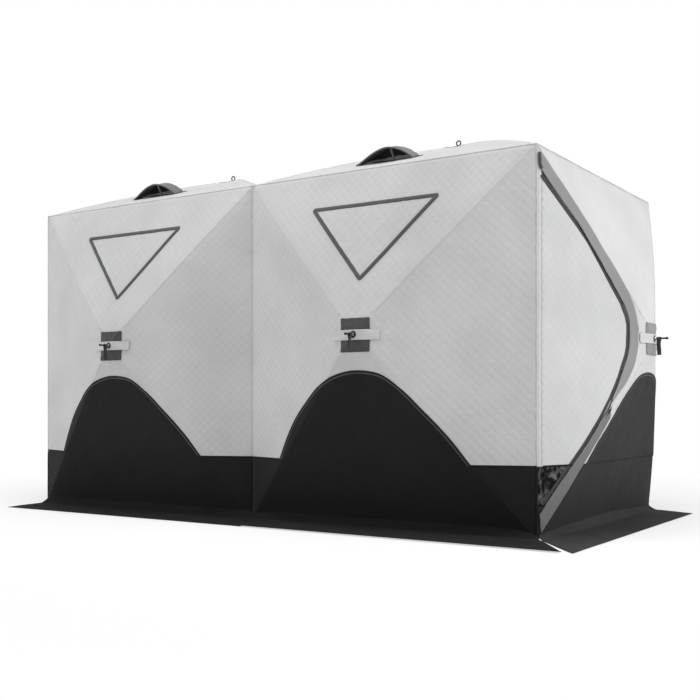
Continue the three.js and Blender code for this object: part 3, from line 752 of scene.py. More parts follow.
# welt seams where two panels meet, and the binding under the eaves; the upper seams and the eave binding are painted
# lighter than the skin to hide their own shade
def tube(name, pts, r, mat, sides=10, close=False, flat=None, cap=True):
    """A tube along points of the row frame."""
    pts = np.array(pts, float)
    n = len(pts)
    nxt = np.roll(pts, -1, 0) if close else np.vstack([pts[1:], 2 * pts[-1] - pts[-2]])
    prv = np.roll(pts, 1, 0) if close else np.vstack([2 * pts[0] - pts[1], pts[:-1]])
    tan = nxt - prv
    tan /= np.maximum(np.linalg.norm(tan, axis=1), 1e-12)[:, None]
    ref = np.array((0, 0, 1.0)) if abs(tan[0][2]) < 0.9 else np.array((1.0, 0, 0))
    a = np.cross(tan[0], ref)
    a /= np.linalg.norm(a)
    verts, uvs = [], []
    run = 0.0
    rr = np.broadcast_to(np.asarray(r, float), (n,))
    for i in range(n):
        a = a - tan[i] * (a @ tan[i])
        a /= np.linalg.norm(a)
        b = np.cross(tan[i], a)
        if i:
            run += np.linalg.norm(pts[i] - pts[i - 1])
        for k_ in range(sides):
            t = 2 * math.pi * k_ / sides
            x, y = math.cos(t) * rr[i], math.sin(t) * rr[i] * (flat or 1)
            verts.append(pts[i] + a * x + b * y)
            uvs.append((run, t * rr[i]))
    faces = []
    last = n if close else n - 1
    for i in range(last):
        j = (i + 1) % n
        for k_ in range(sides):
            l_ = (k_ + 1) % sides
            faces.append((i * sides + k_, i * sides + l_, j * sides + l_, j * sides + k_))
    if not close and cap:
        faces.append(list(range(sides))[::-1])
        faces.append([(n - 1) * sides + k_ for k_ in range(sides)])
    ob = make(name, verts, faces, mat, uv=uvs)
    fix_normals(ob)
    return ob


Z_ALONG = np.linspace(0.006, EAVE - 0.004, 120)
for x, nm in ((-1.8, "left"), (0.0, "mid"), (1.8, "right")):
    for y, ny in ((-0.9, "front"), (0.9, "back")):
        wob = noise(Z_ALONG / 0.12 + x * 3, Z_ALONG * 0 + y) * 0.0022
        o = -1 if y < 0 else 1
        ex = 0 if x == 0 else (1 if x > 0 else -1)
        pts = np.stack([x + ex * 0.0006 + wob * 0.6, np.full_like(wob, y + o * 0.0006) + wob * 0.3, Z_ALONG], 1)
        up = Z_ALONG > 0.362
        s1 = tube(f"seam_{nm}_{ny}_upper", pts[up], 0.0016, M_SEAM_PAINTED_LIGHT)
        s2 = tube(f"seam_{nm}_{ny}_lower", pts[~up], 0.0028, M_BLACK)
        node = "wall_" + ("front" if y < 0 else "back")
        for s in (s1, s2):
            ride(s, "root", node, slot="trim")
XS = np.linspace(-1.8, 1.8, 240)
for y, ny in ((-0.9, "front"), (0.9, "back")):
    o = -1 if y < 0 else 1
    wob = noise(XS / 0.1, XS * 0 + y * 3) * 0.002
    pts = np.stack([XS, np.full_like(XS, y + o * 0.0008) + wob * 0.5, np.full_like(XS, EAVE + 0.0005) + wob * 0.4], 1)
    ride(tube(f"eave_seam_{ny}", pts, 0.0018, M_SEAM_PAINTED_LIGHT), "root", "roof", slot="trim")
YS = np.linspace(-0.9, 0.9, 120)
for x, nm in ((-1.8, "left"), (1.8, "right"), (0.0, "mid")):
    ex = 0 if x == 0 else (1 if x > 0 else -1)
    wob = noise(YS / 0.1, YS * 0 + x * 3) * 0.002
    pts = np.stack([np.full_like(YS, x + ex * 0.0008) + wob * 0.5, YS, np.full_like(YS, EAVE + 0.0006) + wob * 0.4], 1)
    ride(tube(f"eave_seam_{nm}", pts, 0.0018, M_SEAM_PAINTED_LIGHT), "root", "roof", slot="trim")

# --------------------------------------------------------------- windows
def rounded(poly, r, n=6):
    out = []
    m = len(poly)
    for i in range(m):
        p0, p1, p2 = (np.array(poly[(i + k_) % m], float) for k_ in (-1, 0, 1))
        a, b = (p0 - p1) / np.linalg.norm(p0 - p1), (p2 - p1) / np.linalg.norm(p2 - p1)
        q0, q1 = p1 + a * r, p1 + b * r
        for j in range(n + 1):
            t = j / n
            out.append((1 - t) ** 2 * q0 + 2 * t * (1 - t) * p1 + t * t * q1)
    return np.array(out)


WIN = [(-0.402, 1.759 - HUBZ), (-0.013, 1.338 - HUBZ), (0.380, 1.759 - HUBZ)]


def window(p):
    edge = rounded(WIN, 0.006, 3)
    line = resample(edge, 0.010, close=True)
    lo, hi = edge.min(0) - 0.02, edge.max(0) + 0.02
    v, f = triangulate((lo[0], hi[0], lo[1], hi[1]), [(line, True)], 0.0085)
    c = v[f].mean(1)
    v, f = pick(v, f, inside([tuple(q) for q in line], c[:, 0], c[:, 1]))
    # diamonds puffed up between the stitch lines
    pitch = 0.050 * math.sqrt(2)
    a, b = (v[:, 0] + v[:, 1]) / pitch, (v[:, 0] - v[:, 1]) / pitch
    fa, fb = np.abs(a - np.round(a)) * 2, np.abs(b - np.round(b)) * 2
    puff = (np.sqrt(fa) * np.sqrt(fb)) * 0.0022
    d = np.min(np.linalg.norm(v[:, None] - line[None, ::3], axis=2), axis=1)
    rise = 0.0022 + puff * np.clip(d / 0.03, 0, 1) + 0.0016 * noise(v[:, 0] / 0.05 + p.seed, v[:, 1] / 0.05)
    rise = np.maximum(rise, 0.0016)
    co = p.on(v[:, 0], v[:, 1], rise)
    ob = make("window_cover_" + p.name, co, f, M_WINDOW, uv=v)
    solidify(ob, 0.0014)
    on_panel(ob, p)
    t = strip("window_binding_" + p.name, p, line, 0.023, 0.0052, M_TRIM, close=True, step=0.009)
    on_panel(t, p)
    return ob


for n_ in ("front_left", "front_right", "back_left", "back_right"):
    window(PANELS[n_])

# ------------------------------------------------------------ hub patches
def sq(u0, u1, v0, v1, r=0.006):
    return rounded([(u0, v0), (u1, v0), (u1, v1), (u0, v1)], r, 3)


def patch(p, name, poly, mat, rise, thick, hem=None, step=0.007, wav=0.0):
    line = resample(poly, step, close=True)
    lo, hi = line.min(0) - 0.01, line.max(0) + 0.01
    v, f = triangulate((lo[0], hi[0], lo[1], hi[1]), [(line, True)], step)
    c = v[f].mean(1)
    v, f = pick(v, f, inside([tuple(q) for q in line], c[:, 0], c[:, 1]))
    keep = np.hypot(v[f].mean(1)[:, 0], v[f].mean(1)[:, 1]) > 0.009
    v, f = pick(v, f, keep)
    d = np.min(np.linalg.norm(v[:, None] - line[None], axis=2), axis=1)
    r = rise + wav * noise(v[:, 0] / 0.03 + p.seed, v[:, 1] / 0.03) + (0.0012 * np.clip((0.012 - d) / 0.004, 0, 1) if hem else 0)
    co = p.on(v[:, 0], v[:, 1], r)
    ob = make(name, co, f, mat, uv=v)
    solidify(ob, thick)
    on_panel(ob, p)
    return ob


def stitches(p, name, line, mat, lift, pitch=0.0075, length=0.0042, width=0.0012, close=False):
    line = resample(line, 0.004, close)
    run = np.concatenate([[0], np.cumsum(np.linalg.norm(np.diff(line, axis=0), axis=1))])
    total = run[-1]
    verts, faces = [], []
    for s in np.arange(pitch / 2, total, pitch):
        ends = []
        for q in (s - length / 2, s, s + length / 2):
            ends.append((np.interp(q, run, line[:, 0]), np.interp(q, run, line[:, 1])))
        e = np.array(ends)
        t = e[2] - e[0]
        L = np.linalg.norm(t)
        if L < 1e-6:
            continue
        nrm = np.array([-t[1], t[0]]) / L * width / 2
        b = len(verts)
        for k_, q in enumerate(e):
            top = lift + (0.0009 if k_ == 1 else 0.0001)
            for sgn, hh in ((-1, lift - 0.0004), (0, top), (1, lift - 0.0004)):
                w_ = q + nrm * sgn
                verts.append(p.on(w_[0], w_[1], hh))
        for k_ in (0, 1):
            for c_ in (0, 1):
                faces.append((b + 3 * k_ + c_, b + 3 * k_ + c_ + 1, b + 3 * (k_ + 1) + c_ + 1, b + 3 * (k_ + 1) + c_))
    ob = make(name, verts, faces, mat)
    return on_panel(ob, p)


for name, p in PANELS.items():
    if p.roof:
        pa = patch(p, "hub_patch_" + name, sq(-0.075, 0.075, -0.075, 0.075), M_STRIP, 0.0024, 0.0018, hem=True, wav=0.0010)
        continue
    # the end walls' patches take the lighter copy: painted light
    pa = patch(p, "hub_patch_" + name, sq(-0.086, 0.092, 0.945 - HUBZ, 1.124 - HUBZ), M_PATCH_PAINTED_LIT if name.endswith("_end") else M_PATCH, 0.0026, 0.0018, hem=True, wav=0.0012)
    stitches(p, "patch_stitch_" + name, sq(-0.080, 0.086, 0.951 - HUBZ, 1.118 - HUBZ), M_TRIM, 0.0042, close=True)
    st = patch(p, "hub_strip_" + name, sq(-0.138, 0.142, 1.008 - HUBZ, 1.062 - HUBZ, 0.004), M_STRIP, 0.0075, 0.0022, wav=0.0026)

# ------------------------------------------------------------------ door
dv, df = door_parts
p = PANELS["right_end"]
c = dv[df].mean(1)
low = c[:, 1] < BAND_V
arch = inside([tuple(q) for q in resample(ARCH_END, 0.02)], c[:, 0], c[:, 1]) & ~low
door = from_uv("door_cloth", p, dv, df, None, lift=-0.0006, mats=[M_DOOR, M_CAMO], face_mat=(low | arch).astype(int))
ride(door, "door_panel", "door_panel", slot="door")
for i, r in enumerate(clip_poly(resample(ARCH_END, 0.012), DOOR_POLY, True)):
    ride(strip(f"door_arch_piping_{i}", p, r, 0.0125, 0.0042, M_WELT, shape="round"), "door_panel", "door_panel", slot="trim")
for i, r in enumerate(clip_poly(resample([(-UH, BAND_V), (UH, BAND_V)], 0.014), DOOR_POLY, True)):
    ride(strip(f"door_band_seam_{i}", p, r, 0.010, 0.0022, M_BLACK, shape="round"), "door_panel", "door_panel", slot="trim")
# door hem tape just inside the zip, and the hinge seam
inner = [q for q in door_uv([(0.034, 1.820), (0.05, 1.802), (0.293, 1.593), (0.372, 1.522), (0.543, 1.331), (0.65, 1.218), (0.695, 1.15),
                            (0.712, 1.10), (0.714, 1.05), (0.706, 0.985), (0.69, 0.93), (0.625, 0.812), (0.552, 0.70),
                            (0.467, 0.592), (0.353, 0.468), (0.12, 0.245), (0.05, 0.175)])]
ride(strip("door_zip_tape", p, inner, 0.019, 0.0012, M_ZIP, offset=-0.0050), "door_panel", "door_panel", slot="zip")
seam_pts = [p.on(-0.9 + 0.020 * CL, z - HUBZ, 0.001) for z in np.linspace(0.13, 1.83, 130)]
hv, hf = hinge_parts
hs = from_uv("door_hinge_cloth", p, hv, hf, None, lift=0.0, mats=[M_DOOR, M_CAMO], face_mat=(hv[hf].mean(1)[:, 1] < BAND_V).astype(int))
ride(hs, "door_hinge_strip", "door_hinge_strip", slot="door")


def teeth(name, p, line, off, mat, body=None):
    """Coil teeth of one side of the zip."""
    line = resample(line, 0.0022)
    nrm = np.gradient(line, axis=0)
    nrm = np.stack([-nrm[:, 1], nrm[:, 0]], 1) / np.linalg.norm(nrm, axis=1)[:, None]
    wob = np.where(np.arange(len(line)) % 2 == 0, 0.0009, -0.0009)
    q = line + nrm * (off + wob[:, None])
    pts = p.world(q[:, 0], q[:, 1], p.height(q[:, 0], q[:, 1]) + 0.0022 + np.abs(wob) * 0.8)
    ob = tube(name, pts, 0.0014, mat, sides=5)
    return ob


zip_line = door_uv(spline([(0.030, 1.832), (0.293, 1.605), (0.551, 1.339), (0.66, 1.225), (0.712, 1.15), (0.7265, 1.06),
                           (0.708, 0.94), (0.635, 0.803), (0.562, 0.692), (0.476, 0.582), (0.363, 0.457), (0.137, 0.24),
                           (0.030, 0.143)], 8))
ride(teeth("zip_coil_inner", p, zip_line, -0.0022, M_ZIP), "door_panel", "door_panel", slot="zip")
on_panel(teeth("zip_coil_outer", p, zip_line, 0.0022, M_ZIP), p)


def flap(name, inner, outer, lift_in, lift_out, seed, mat=M_FLAP):
    """The storm flap: sewn at its outer edge, loose over the zip."""
    n, m_ = 150, 9
    def even(line):
        line = np.array(line, float)
        run = np.concatenate([[0], np.cumsum(np.linalg.norm(np.diff(line, axis=0), axis=1))])
        s = np.linspace(0, run[-1], n)
        return np.stack([np.interp(s, run, line[:, 0]), np.interp(s, run, line[:, 1])], 1)
    a, b = even(inner), even(outer)
    verts, uvs, faces = [], [], []
    for j in range(m_):
        t = j / (m_ - 1)
        q = a * (1 - t) + b * t
        s = np.arange(n) * 0.012
        wave = noise(s / 0.07 + seed, s * 0 + t * 1.6) * 0.0032 + noise(s / 0.25 + seed, s * 0 + t) * 0.0030
        rise = lift_in * (1 - t) ** 1.5 + lift_out + wave * (1 - 0.7 * t)
        rise = np.maximum(rise, 0.0022) + (0.0010 if j in (0, 1, m_ - 1) else 0)
        verts.append(p.on(q[:, 0], q[:, 1], rise))
        uvs.append(q)
    for j in range(m_ - 1):
        for i in range(n - 1):
            faces.append((j * n + i, j * n + i + 1, (j + 1) * n + i + 1, (j + 1) * n + i))
    ob = make(name, np.concatenate(verts), faces, mat, uv=np.concatenate(uvs))
    me = ob.data
    me.update()
    if np.mean([poly.normal @ Vector(p.n) for poly in me.polygons]) < 0:
        me.flip_normals()
    solidify(ob, 0.0018)
    on_panel(ob, p)
    return ob


flap("storm_flap_upper",
     door_uv(spline([(0.010, 1.925), (0.018, 1.845), (0.285, 1.600), (0.540, 1.334), (0.648, 1.222), (0.699, 1.15), (0.714, 1.062),
                     (0.695, 0.94), (0.622, 0.808), (0.552, 0.698)], 6)),
     door_uv(spline([(0.026, 1.934), (0.087, 1.874), (0.134, 1.828), (0.182, 1.784), (0.255, 1.716), (0.325, 1.648), (0.397, 1.578), (0.484, 1.488), (0.566, 1.410), (0.641, 1.336), (0.708, 1.260), (0.764, 1.184), (0.798, 1.078),
                     (0.775, 0.925), (0.70, 0.812), (0.622, 0.738), (0.566, 0.688)], 6)), 0.0055, 0.0028, 3.1)
flap("storm_flap_lower",
     door_uv(spline([(0.524, 0.648), (0.460, 0.586), (0.348, 0.464), (0.122, 0.248), (0.008, 0.122)], 6)),
     door_uv(spline([(0.542, 0.642), (0.528, 0.588), (0.330, 0.366), (0.150, 0.166), (0.026, 0.03)], 6)), 0.0060, 0.0028, 8.7, M_FLAP_LOW)

# the small dark garage that the zip's top end runs into, beside the corner
garage = strip("zip_garage", PANELS["right_end"], door_uv([(0.0070, 1.926), (0.0060, 1.905), (0.0080, 1.872), (0.020, 1.846)]), 0.0170, 0.0030, M_ZIP, lift=0.0105, step=0.008)
on_panel(garage, PANELS["right_end"])

# ------------------------------------------------------------ zip slider
def frame_matrix(o, x, y, z):
    m = Matrix.Identity(4)
    for i, a in enumerate((x, y, z)):
        for r in range(3):
            m[r][i] = float(a[r])
    for r in range(3):
        m[r][3] = float(o[r])
    return m


def bevelled(name, size, mat, bevel=0.0012, at=(0, 0, 0), seg=3):
    bm = bmesh.new()
    bmesh.ops.create_cube(bm, size=1)
    for v in bm.verts:
        v.co = Vector((v.co.x * size[0] + at[0], v.co.y * size[1] + at[1], v.co.z * size[2] + at[2]))
    bmesh.ops.bevel(bm, geom=list(bm.edges), offset=bevel, segments=seg, profile=0.6, affect="EDGES")
    me = bpy.data.meshes.new(name)
    bm.to_mesh(me)
    bm.free()
    vs = [tuple(v.co) for v in me.vertices]
    fs = [tuple(q.vertices) for q in me.polygons]
    bpy.data.meshes.remove(me)
    return make(name, vs, fs, mat)


def lathe(name, prof, mat, sides=32, close=True):
    """Turned about Z from (r, z) points that start and end on the axis."""
    verts, faces = [], []
    rings = []
    for r, z in prof:
        if r < 1e-7:
            rings.append([len(verts)])
            verts.append((0, 0, z))
        else:
            rings.append(list(range(len(verts), len(verts) + sides)))
            verts += [(r * math.cos(2 * math.pi * k_ / sides), r * math.sin(2 * math.pi * k_ / sides), z) for k_ in range(sides)]
    for a, b in zip(rings[:-1], rings[1:]):
        for k_ in range(sides):
            l_ = (k_ + 1) % sides
            if len(a) == 1 and len(b) > 1:
                faces.append((a[0], b[l_], b[k_]))
            elif len(b) == 1 and len(a) > 1:
                faces.append((a[k_], a[l_], b[0]))
            elif len(a) > 1:
                faces.append((a[k_], a[l_], b[l_], b[k_]))
    ob = make(name, verts, faces, mat)
    fix_normals(ob)
    return ob


def place(ob, m):
    ob.data.transform(m)
    ob.data.update()
    return ob


def smooth_by_angle(ob, deg=40):
    me = ob.data
    me.polygons.foreach_set("use_smooth", np.ones(len(me.polygons), bool))
    bm = bmesh.new()
    bm.from_mesh(me)
    for e in bm.edges:
        if len(e.link_faces) == 2 and e.calc_face_angle(0) > math.radians(deg):
            e.smooth = False
    bm.to_mesh(me)
    bm.free()
    return ob


DW = np.array((math.sin(LEAN), CL, 0.0))
DOUT = np.array((CL, -math.sin(LEAN), 0.0))
DO = np.array((1.8, -0.9, 0.0))
zf, zt = np.array((0.546, 0.650)), np.array((0.137, 0.240))
zd = (zt - zf) / np.linalg.norm(zt - zf)
zx = zd[0] * DW + np.array((0, 0, zd[1]))
zy = np.cross(DOUT, zx)
ZM = frame_matrix(DO + zf[0] * DW + np.array((0, 0, zf[1])), zx, zy, DOUT)
sl = [bevelled("a", (0.027, 0.015, 0.0050), M_DIECAST, 0.0016, (0, 0, 0.0180)),
      bevelled("b", (0.013, 0.0055, 0.0070), M_DIECAST, 0.0016, (0.001, 0, 0.0232)),
      bevelled("c", (0.044, 0.0115, 0.0024), M_HUB, 0.0011, (0.026, 0, 0.0245)),
      bevelled("d", (0.006, 0.0125, 0.0031), M_DIECAST, 0.0010, (0.044, 0, 0.0245))]
o = place(join_as("zip_slider", sl), ZM)
ride(smooth_by_angle(o), "door_zip_slider", "door_zip_slider", slot="zip")

# -------------------------------------------------------- hubs, rods, straps
def panel_matrix(p, u=0, v=0, h=0):
    return frame_matrix(p.at + u * p.u + v * p.v + h * p.n, p.u, p.v, p.n)


def skin_height_plain(p, r, reach, ridge_=True):
    m = r / reach
    if m > ROUND:
        h = p.peak * (1 - m)
    else:
        h = p.apex + (p.peak * (1 - ROUND) - p.apex) * (m / ROUND) ** 2
    return h + p.bow * 4 * m * (1 - m)


WORDS = {True: {(-1, 1): "back_left", (1, 1): "back_right", (1, -1): "front_right", (-1, -1): "front_left"},
         False: {(-1, 1): "upper_left", (1, 1): "upper_right", (1, -1): "lower_right", (-1, -1): "lower_left"}}
for name, p in PANELS.items():
    PM = panel_matrix(p)
    pivots = []
    for (su, sv), word in WORDS[p.roof].items():
        corner = np.array([su * UH, p.hi if sv > 0 else p.lo])
        reach = np.linalg.norm(corner)
        d = corner / reach
        hgt = lambda r: skin_height_plain(p, r, reach) - DROP
        piv = np.array([d[0] * PR, d[1] * PR, hgt(PR)])
        pivots.append((piv, d))
        rs = np.linspace(PR + 0.020, reach * TIP, 34)
        pts = np.array([[d[0] * r, d[1] * r, hgt(r)] for r in rs])
        rod = tube("r", pts, 0.0055, M_ROD, sides=14)
        to = (pts[0] - piv) / np.linalg.norm(pts[0] - piv)
        side = np.array((-d[1], d[0], 0.0))
        up = np.cross(to, side)
        up /= np.linalg.norm(up)
        # ferrule and moulded eye at the hub, moulded tip at the corner
        fer = tube("f", [pts[0] - to * 0.004, pts[0] + to * 0.001, pts[0] + to * 0.034, pts[0] + to * 0.037],
                   [0.0062, 0.0072, 0.0072, 0.0060], M_HUB, sides=16)
        eye_prof = [(0.0032, -0.004), (0.0056, -0.0036), (0.0060, -0.003), (0.0060, 0.003), (0.0056, 0.0036), (0.0032, 0.004), (0.0032, -0.004)]
        ev, ef = [], []
        S = 20
        for r_, z_ in eye_prof[:-1]:
            ev += [(r_ * math.cos(2 * math.pi * k_ / S), r_ * math.sin(2 * math.pi * k_ / S), z_) for k_ in range(S)]
        K = len(eye_prof) - 1
        for a_ in range(K):
            b_ = (a_ + 1) % K
            for k_ in range(S):
                l_ = (k_ + 1) % S
                ef.append((a_ * S + k_, a_ * S + l_, b_ * S + l_, b_ * S + k_))
        eye = make("e", ev, ef, M_HUB)
        fix_normals(eye)
        place(eye, frame_matrix(piv, to, up, side))
        neck = bevelled("n", (0.016, 0.0070, 0.0078), M_HUB, 0.0012, (0.0128, 0, 0))
        place(neck, frame_matrix(piv, to, up, side))
        tt = (pts[-1] - pts[-2]) / np.linalg.norm(pts[-1] - pts[-2])
        tip = tube("t", [pts[-1] - tt * 0.030, pts[-1] - tt * 0.028, pts[-1] - tt * 0.003, pts[-1] + tt * 0.001],
                   [0.0058, 0.0074, 0.0074, 0.0050], M_HUB, sides=14)
        o = join_as(f"rod_{name}_{word}_pole", [rod, fer, eye, neck, tip])
        place(o, PM)
        node = f"rod_{name}_{word}"
        ride(smooth_by_angle(o), node, node, slot="rod")
    z = pivots[0][0][2]
    parts = [lathe("disc", [(0, z - 0.008), (0.022, z - 0.008), (0.026, z - 0.0085), (0.0325, z - 0.007), (0.034, z - 0.0055),
                            (0.034, z + 0.0055), (0.0325, z + 0.007), (0.026, z + 0.0085), (0.022, z + 0.0075), (0.014, z + 0.0075),
                            (0.012, z + 0.010), (0, z + 0.010)], M_HUB, 48)]
    for k_ in range(8):
        a = math.pi / 8 + k_ * math.pi / 4
        rib = bevelled("rib", (0.012, 0.0022, 0.0025), M_HUB, 0.0006, (0.0225, 0, z + 0.0084), 2)
        parts.append(place(rib, Matrix.Rotation(a, 4, "Z")))
    for piv, d in pivots:
        a = math.atan2(d[1], d[0])
        R = Matrix.Rotation(a, 4, "Z")
        for s in (-1, 1):
            ear = bevelled("ear", (PR + 0.007 - 0.024, 0.0036, 0.014), M_HUB, 0.0012, ((0.024 + PR + 0.007) / 2, s * 0.0071, piv[2]))
            parts.append(place(ear, R))
        pin = lathe("pin", [(0, -0.0092), (0.0036, -0.0092), (0.0040, -0.0088), (0.0040, -0.0084), (0.0022, -0.0084),
                            (0.0022, 0.0084), (0.0040, 0.0084), (0.0040, 0.0088), (0.0036, 0.0092), (0, 0.0092)], M_STEEL, 16)
        place(pin, Matrix.Rotation(math.radians(-90), 4, "X"))
        place(pin, Matrix.Translation((PR, 0, piv[2])))
        parts.append(place(pin, R))
    out = p.apex
    bolt = [(0, z), (0.006, z)]
    zz = z
    while zz < out + 0.0085:
        bolt += [(0.0060, zz + 0.0003), (0.0053, zz + 0.0010)]
        zz += 0.0014
    bolt += [(0.006, out + 0.0095), (0, out + 0.0095)]
    parts.append(lathe("bolt", bolt, M_STEEL, 20))
    parts.append(lathe("ring", [(0.0058, out + 0.0100), (0.0105, out + 0.0104), (0.0155, out + 0.0104), (0.0182, out + 0.0096),
                                (0.0190, out + 0.0080), (0.0190, out + 0.0068), (0.0182, out + 0.0062), (0.0058, out + 0.0062),
                                (0.0058, out + 0.0100)], M_HUB, 48))
    nut = lathe("nut", [(0, out + 0.0100), (0.0098, out + 0.0100), (0.0104, out + 0.0106), (0.0104, out + 0.0150), (0.0094, out + 0.0160),
                        (0.0066, out + 0.0160), (0.0062, out + 0.0152), (0, out + 0.0152)], M_STEEL if not p.roof else M_HUB, 6)
    parts.append(nut)
    if p.roof:
        # an eye for the guy line, on a short stem
        zc = out + 0.016 + 0.0160
        ring_ = [(0.0145 * math.cos(t), 0.0, zc + 0.0145 * math.sin(t)) for t in np.linspace(0, 2 * math.pi, 29)[:-1]]
        parts.append(tube("eye", ring_, 0.0040, M_HUB, sides=12, close=True))
        parts.append(lathe("stem", [(0, out + 0.014), (0.0052, out + 0.014), (0.0046, out + 0.0185), (0, out + 0.0190)], M_HUB, 16))
    if not p.roof:
        o0, o1 = out + 0.0150, out + 0.0838
        prof = [(0, o0), (0.0056, o0)]
        for q in np.linspace(o0 + 0.003, o1 - 0.020, 10):
            prof += [(0.0050, q), (0.0050, q + 0.0024), (0.0046, q + 0.0032)]
        prof += [(0.0050, o1 - 0.016), (0.0062, o1 - 0.014), (0.0066, o1 - 0.008), (0.0062, o1 - 0.002), (0.0050, o1), (0, o1)]
        parts.append(lathe("pull", prof, M_HUB, 24))
    o = join_as("hub_" + name + "_assembly", parts)
    place(o, PM)
    ride(smooth_by_angle(o), "hub_" + name, "hub_" + name, slot="hub")
    if p.roof:
        continue
    # webbing looped over the pin, its width along the pin, and sewn to itself below
    path = []
    for a in np.linspace(math.radians(200), math.radians(-20), 19):
        path.append((0.0076 * math.cos(a), 0.0076 * math.sin(a)))
    right_side = [(0.0074, -0.004), (0.0062, -0.009), (0.0036, -0.016), (0.0018, -0.022)]
    right_side += [(0.0015, y) for y in np.linspace(-0.026, -0.086, 16)]
    left_side = [(-x, y) for x, y in right_side]
    path = left_side[::-1] + path + right_side
    path = path + [(0.0010, -0.0895), (0.0, -0.0905), (-0.0010, -0.0895)]
    nP, nW = len(path), 9
    verts, faces, uvs = [], [], []
    run = 0.0
    for i, (x, y) in enumerate(path):
        if i:
            run += math.hypot(x - path[i - 1][0], y - path[i - 1][1])
        sway = 0.0030 * math.sin(min(0, y) * 34) + 0.0018 * math.sin(min(0, y) * 71)
        for j in range(nW):
            t = -1 + 2 * j / (nW - 1)
            verts.append((x + sway + 0.0006 * t * t, y, out + 0.0330 + t * 0.0110 + 0.0012 * math.sin(min(0, y) * 50)))
            uvs.append((run, t * 0.011))
    for i in range(nP):
        i2 = (i + 1) % nP
        for j in range(nW - 1):
            faces.append((i * nW + j, i * nW + j + 1, i2 * nW + j + 1, i2 * nW + j))
    s = make("strap_webbing_" + name, verts, faces, M_WEB, uv=np.array(uvs))
    fix_normals(s)
    place(s, PM)
    solidify(s, 0.0012, 1)
    ride(s, "pull_strap_" + name, "pull_strap_" + name, slot="trim")
    bar = bevelled("bar", (0.0066, 0.0045, 0.0180), M_TRIM, 0.0006, (-0.0021, -0.030, out + 0.0320), 1)
    bar2 = bevelled("bar2", (0.0066, 0.0045, 0.0180), M_TRIM, 0.0006, (-0.0008, -0.082, out + 0.0340), 1)
    b = place(join_as("strap_bartack_" + name, [bar, bar2]), PM)
    ride(b, "pull_strap_" + name, "pull_strap_" + name, slot="trim")

# ----------------------------------------------------------------- vents
SLOPE = math.atan2(0.298, 0.9)
HWF, HH = 0.184, 0.080


def arch_rise(a):
    c = abs(math.cos(a))
    return max(0.0, 1 - c ** 1.8) ** 1.08



def up_facet(y):
    return (y + 0.9) / math.cos(SLOPE)


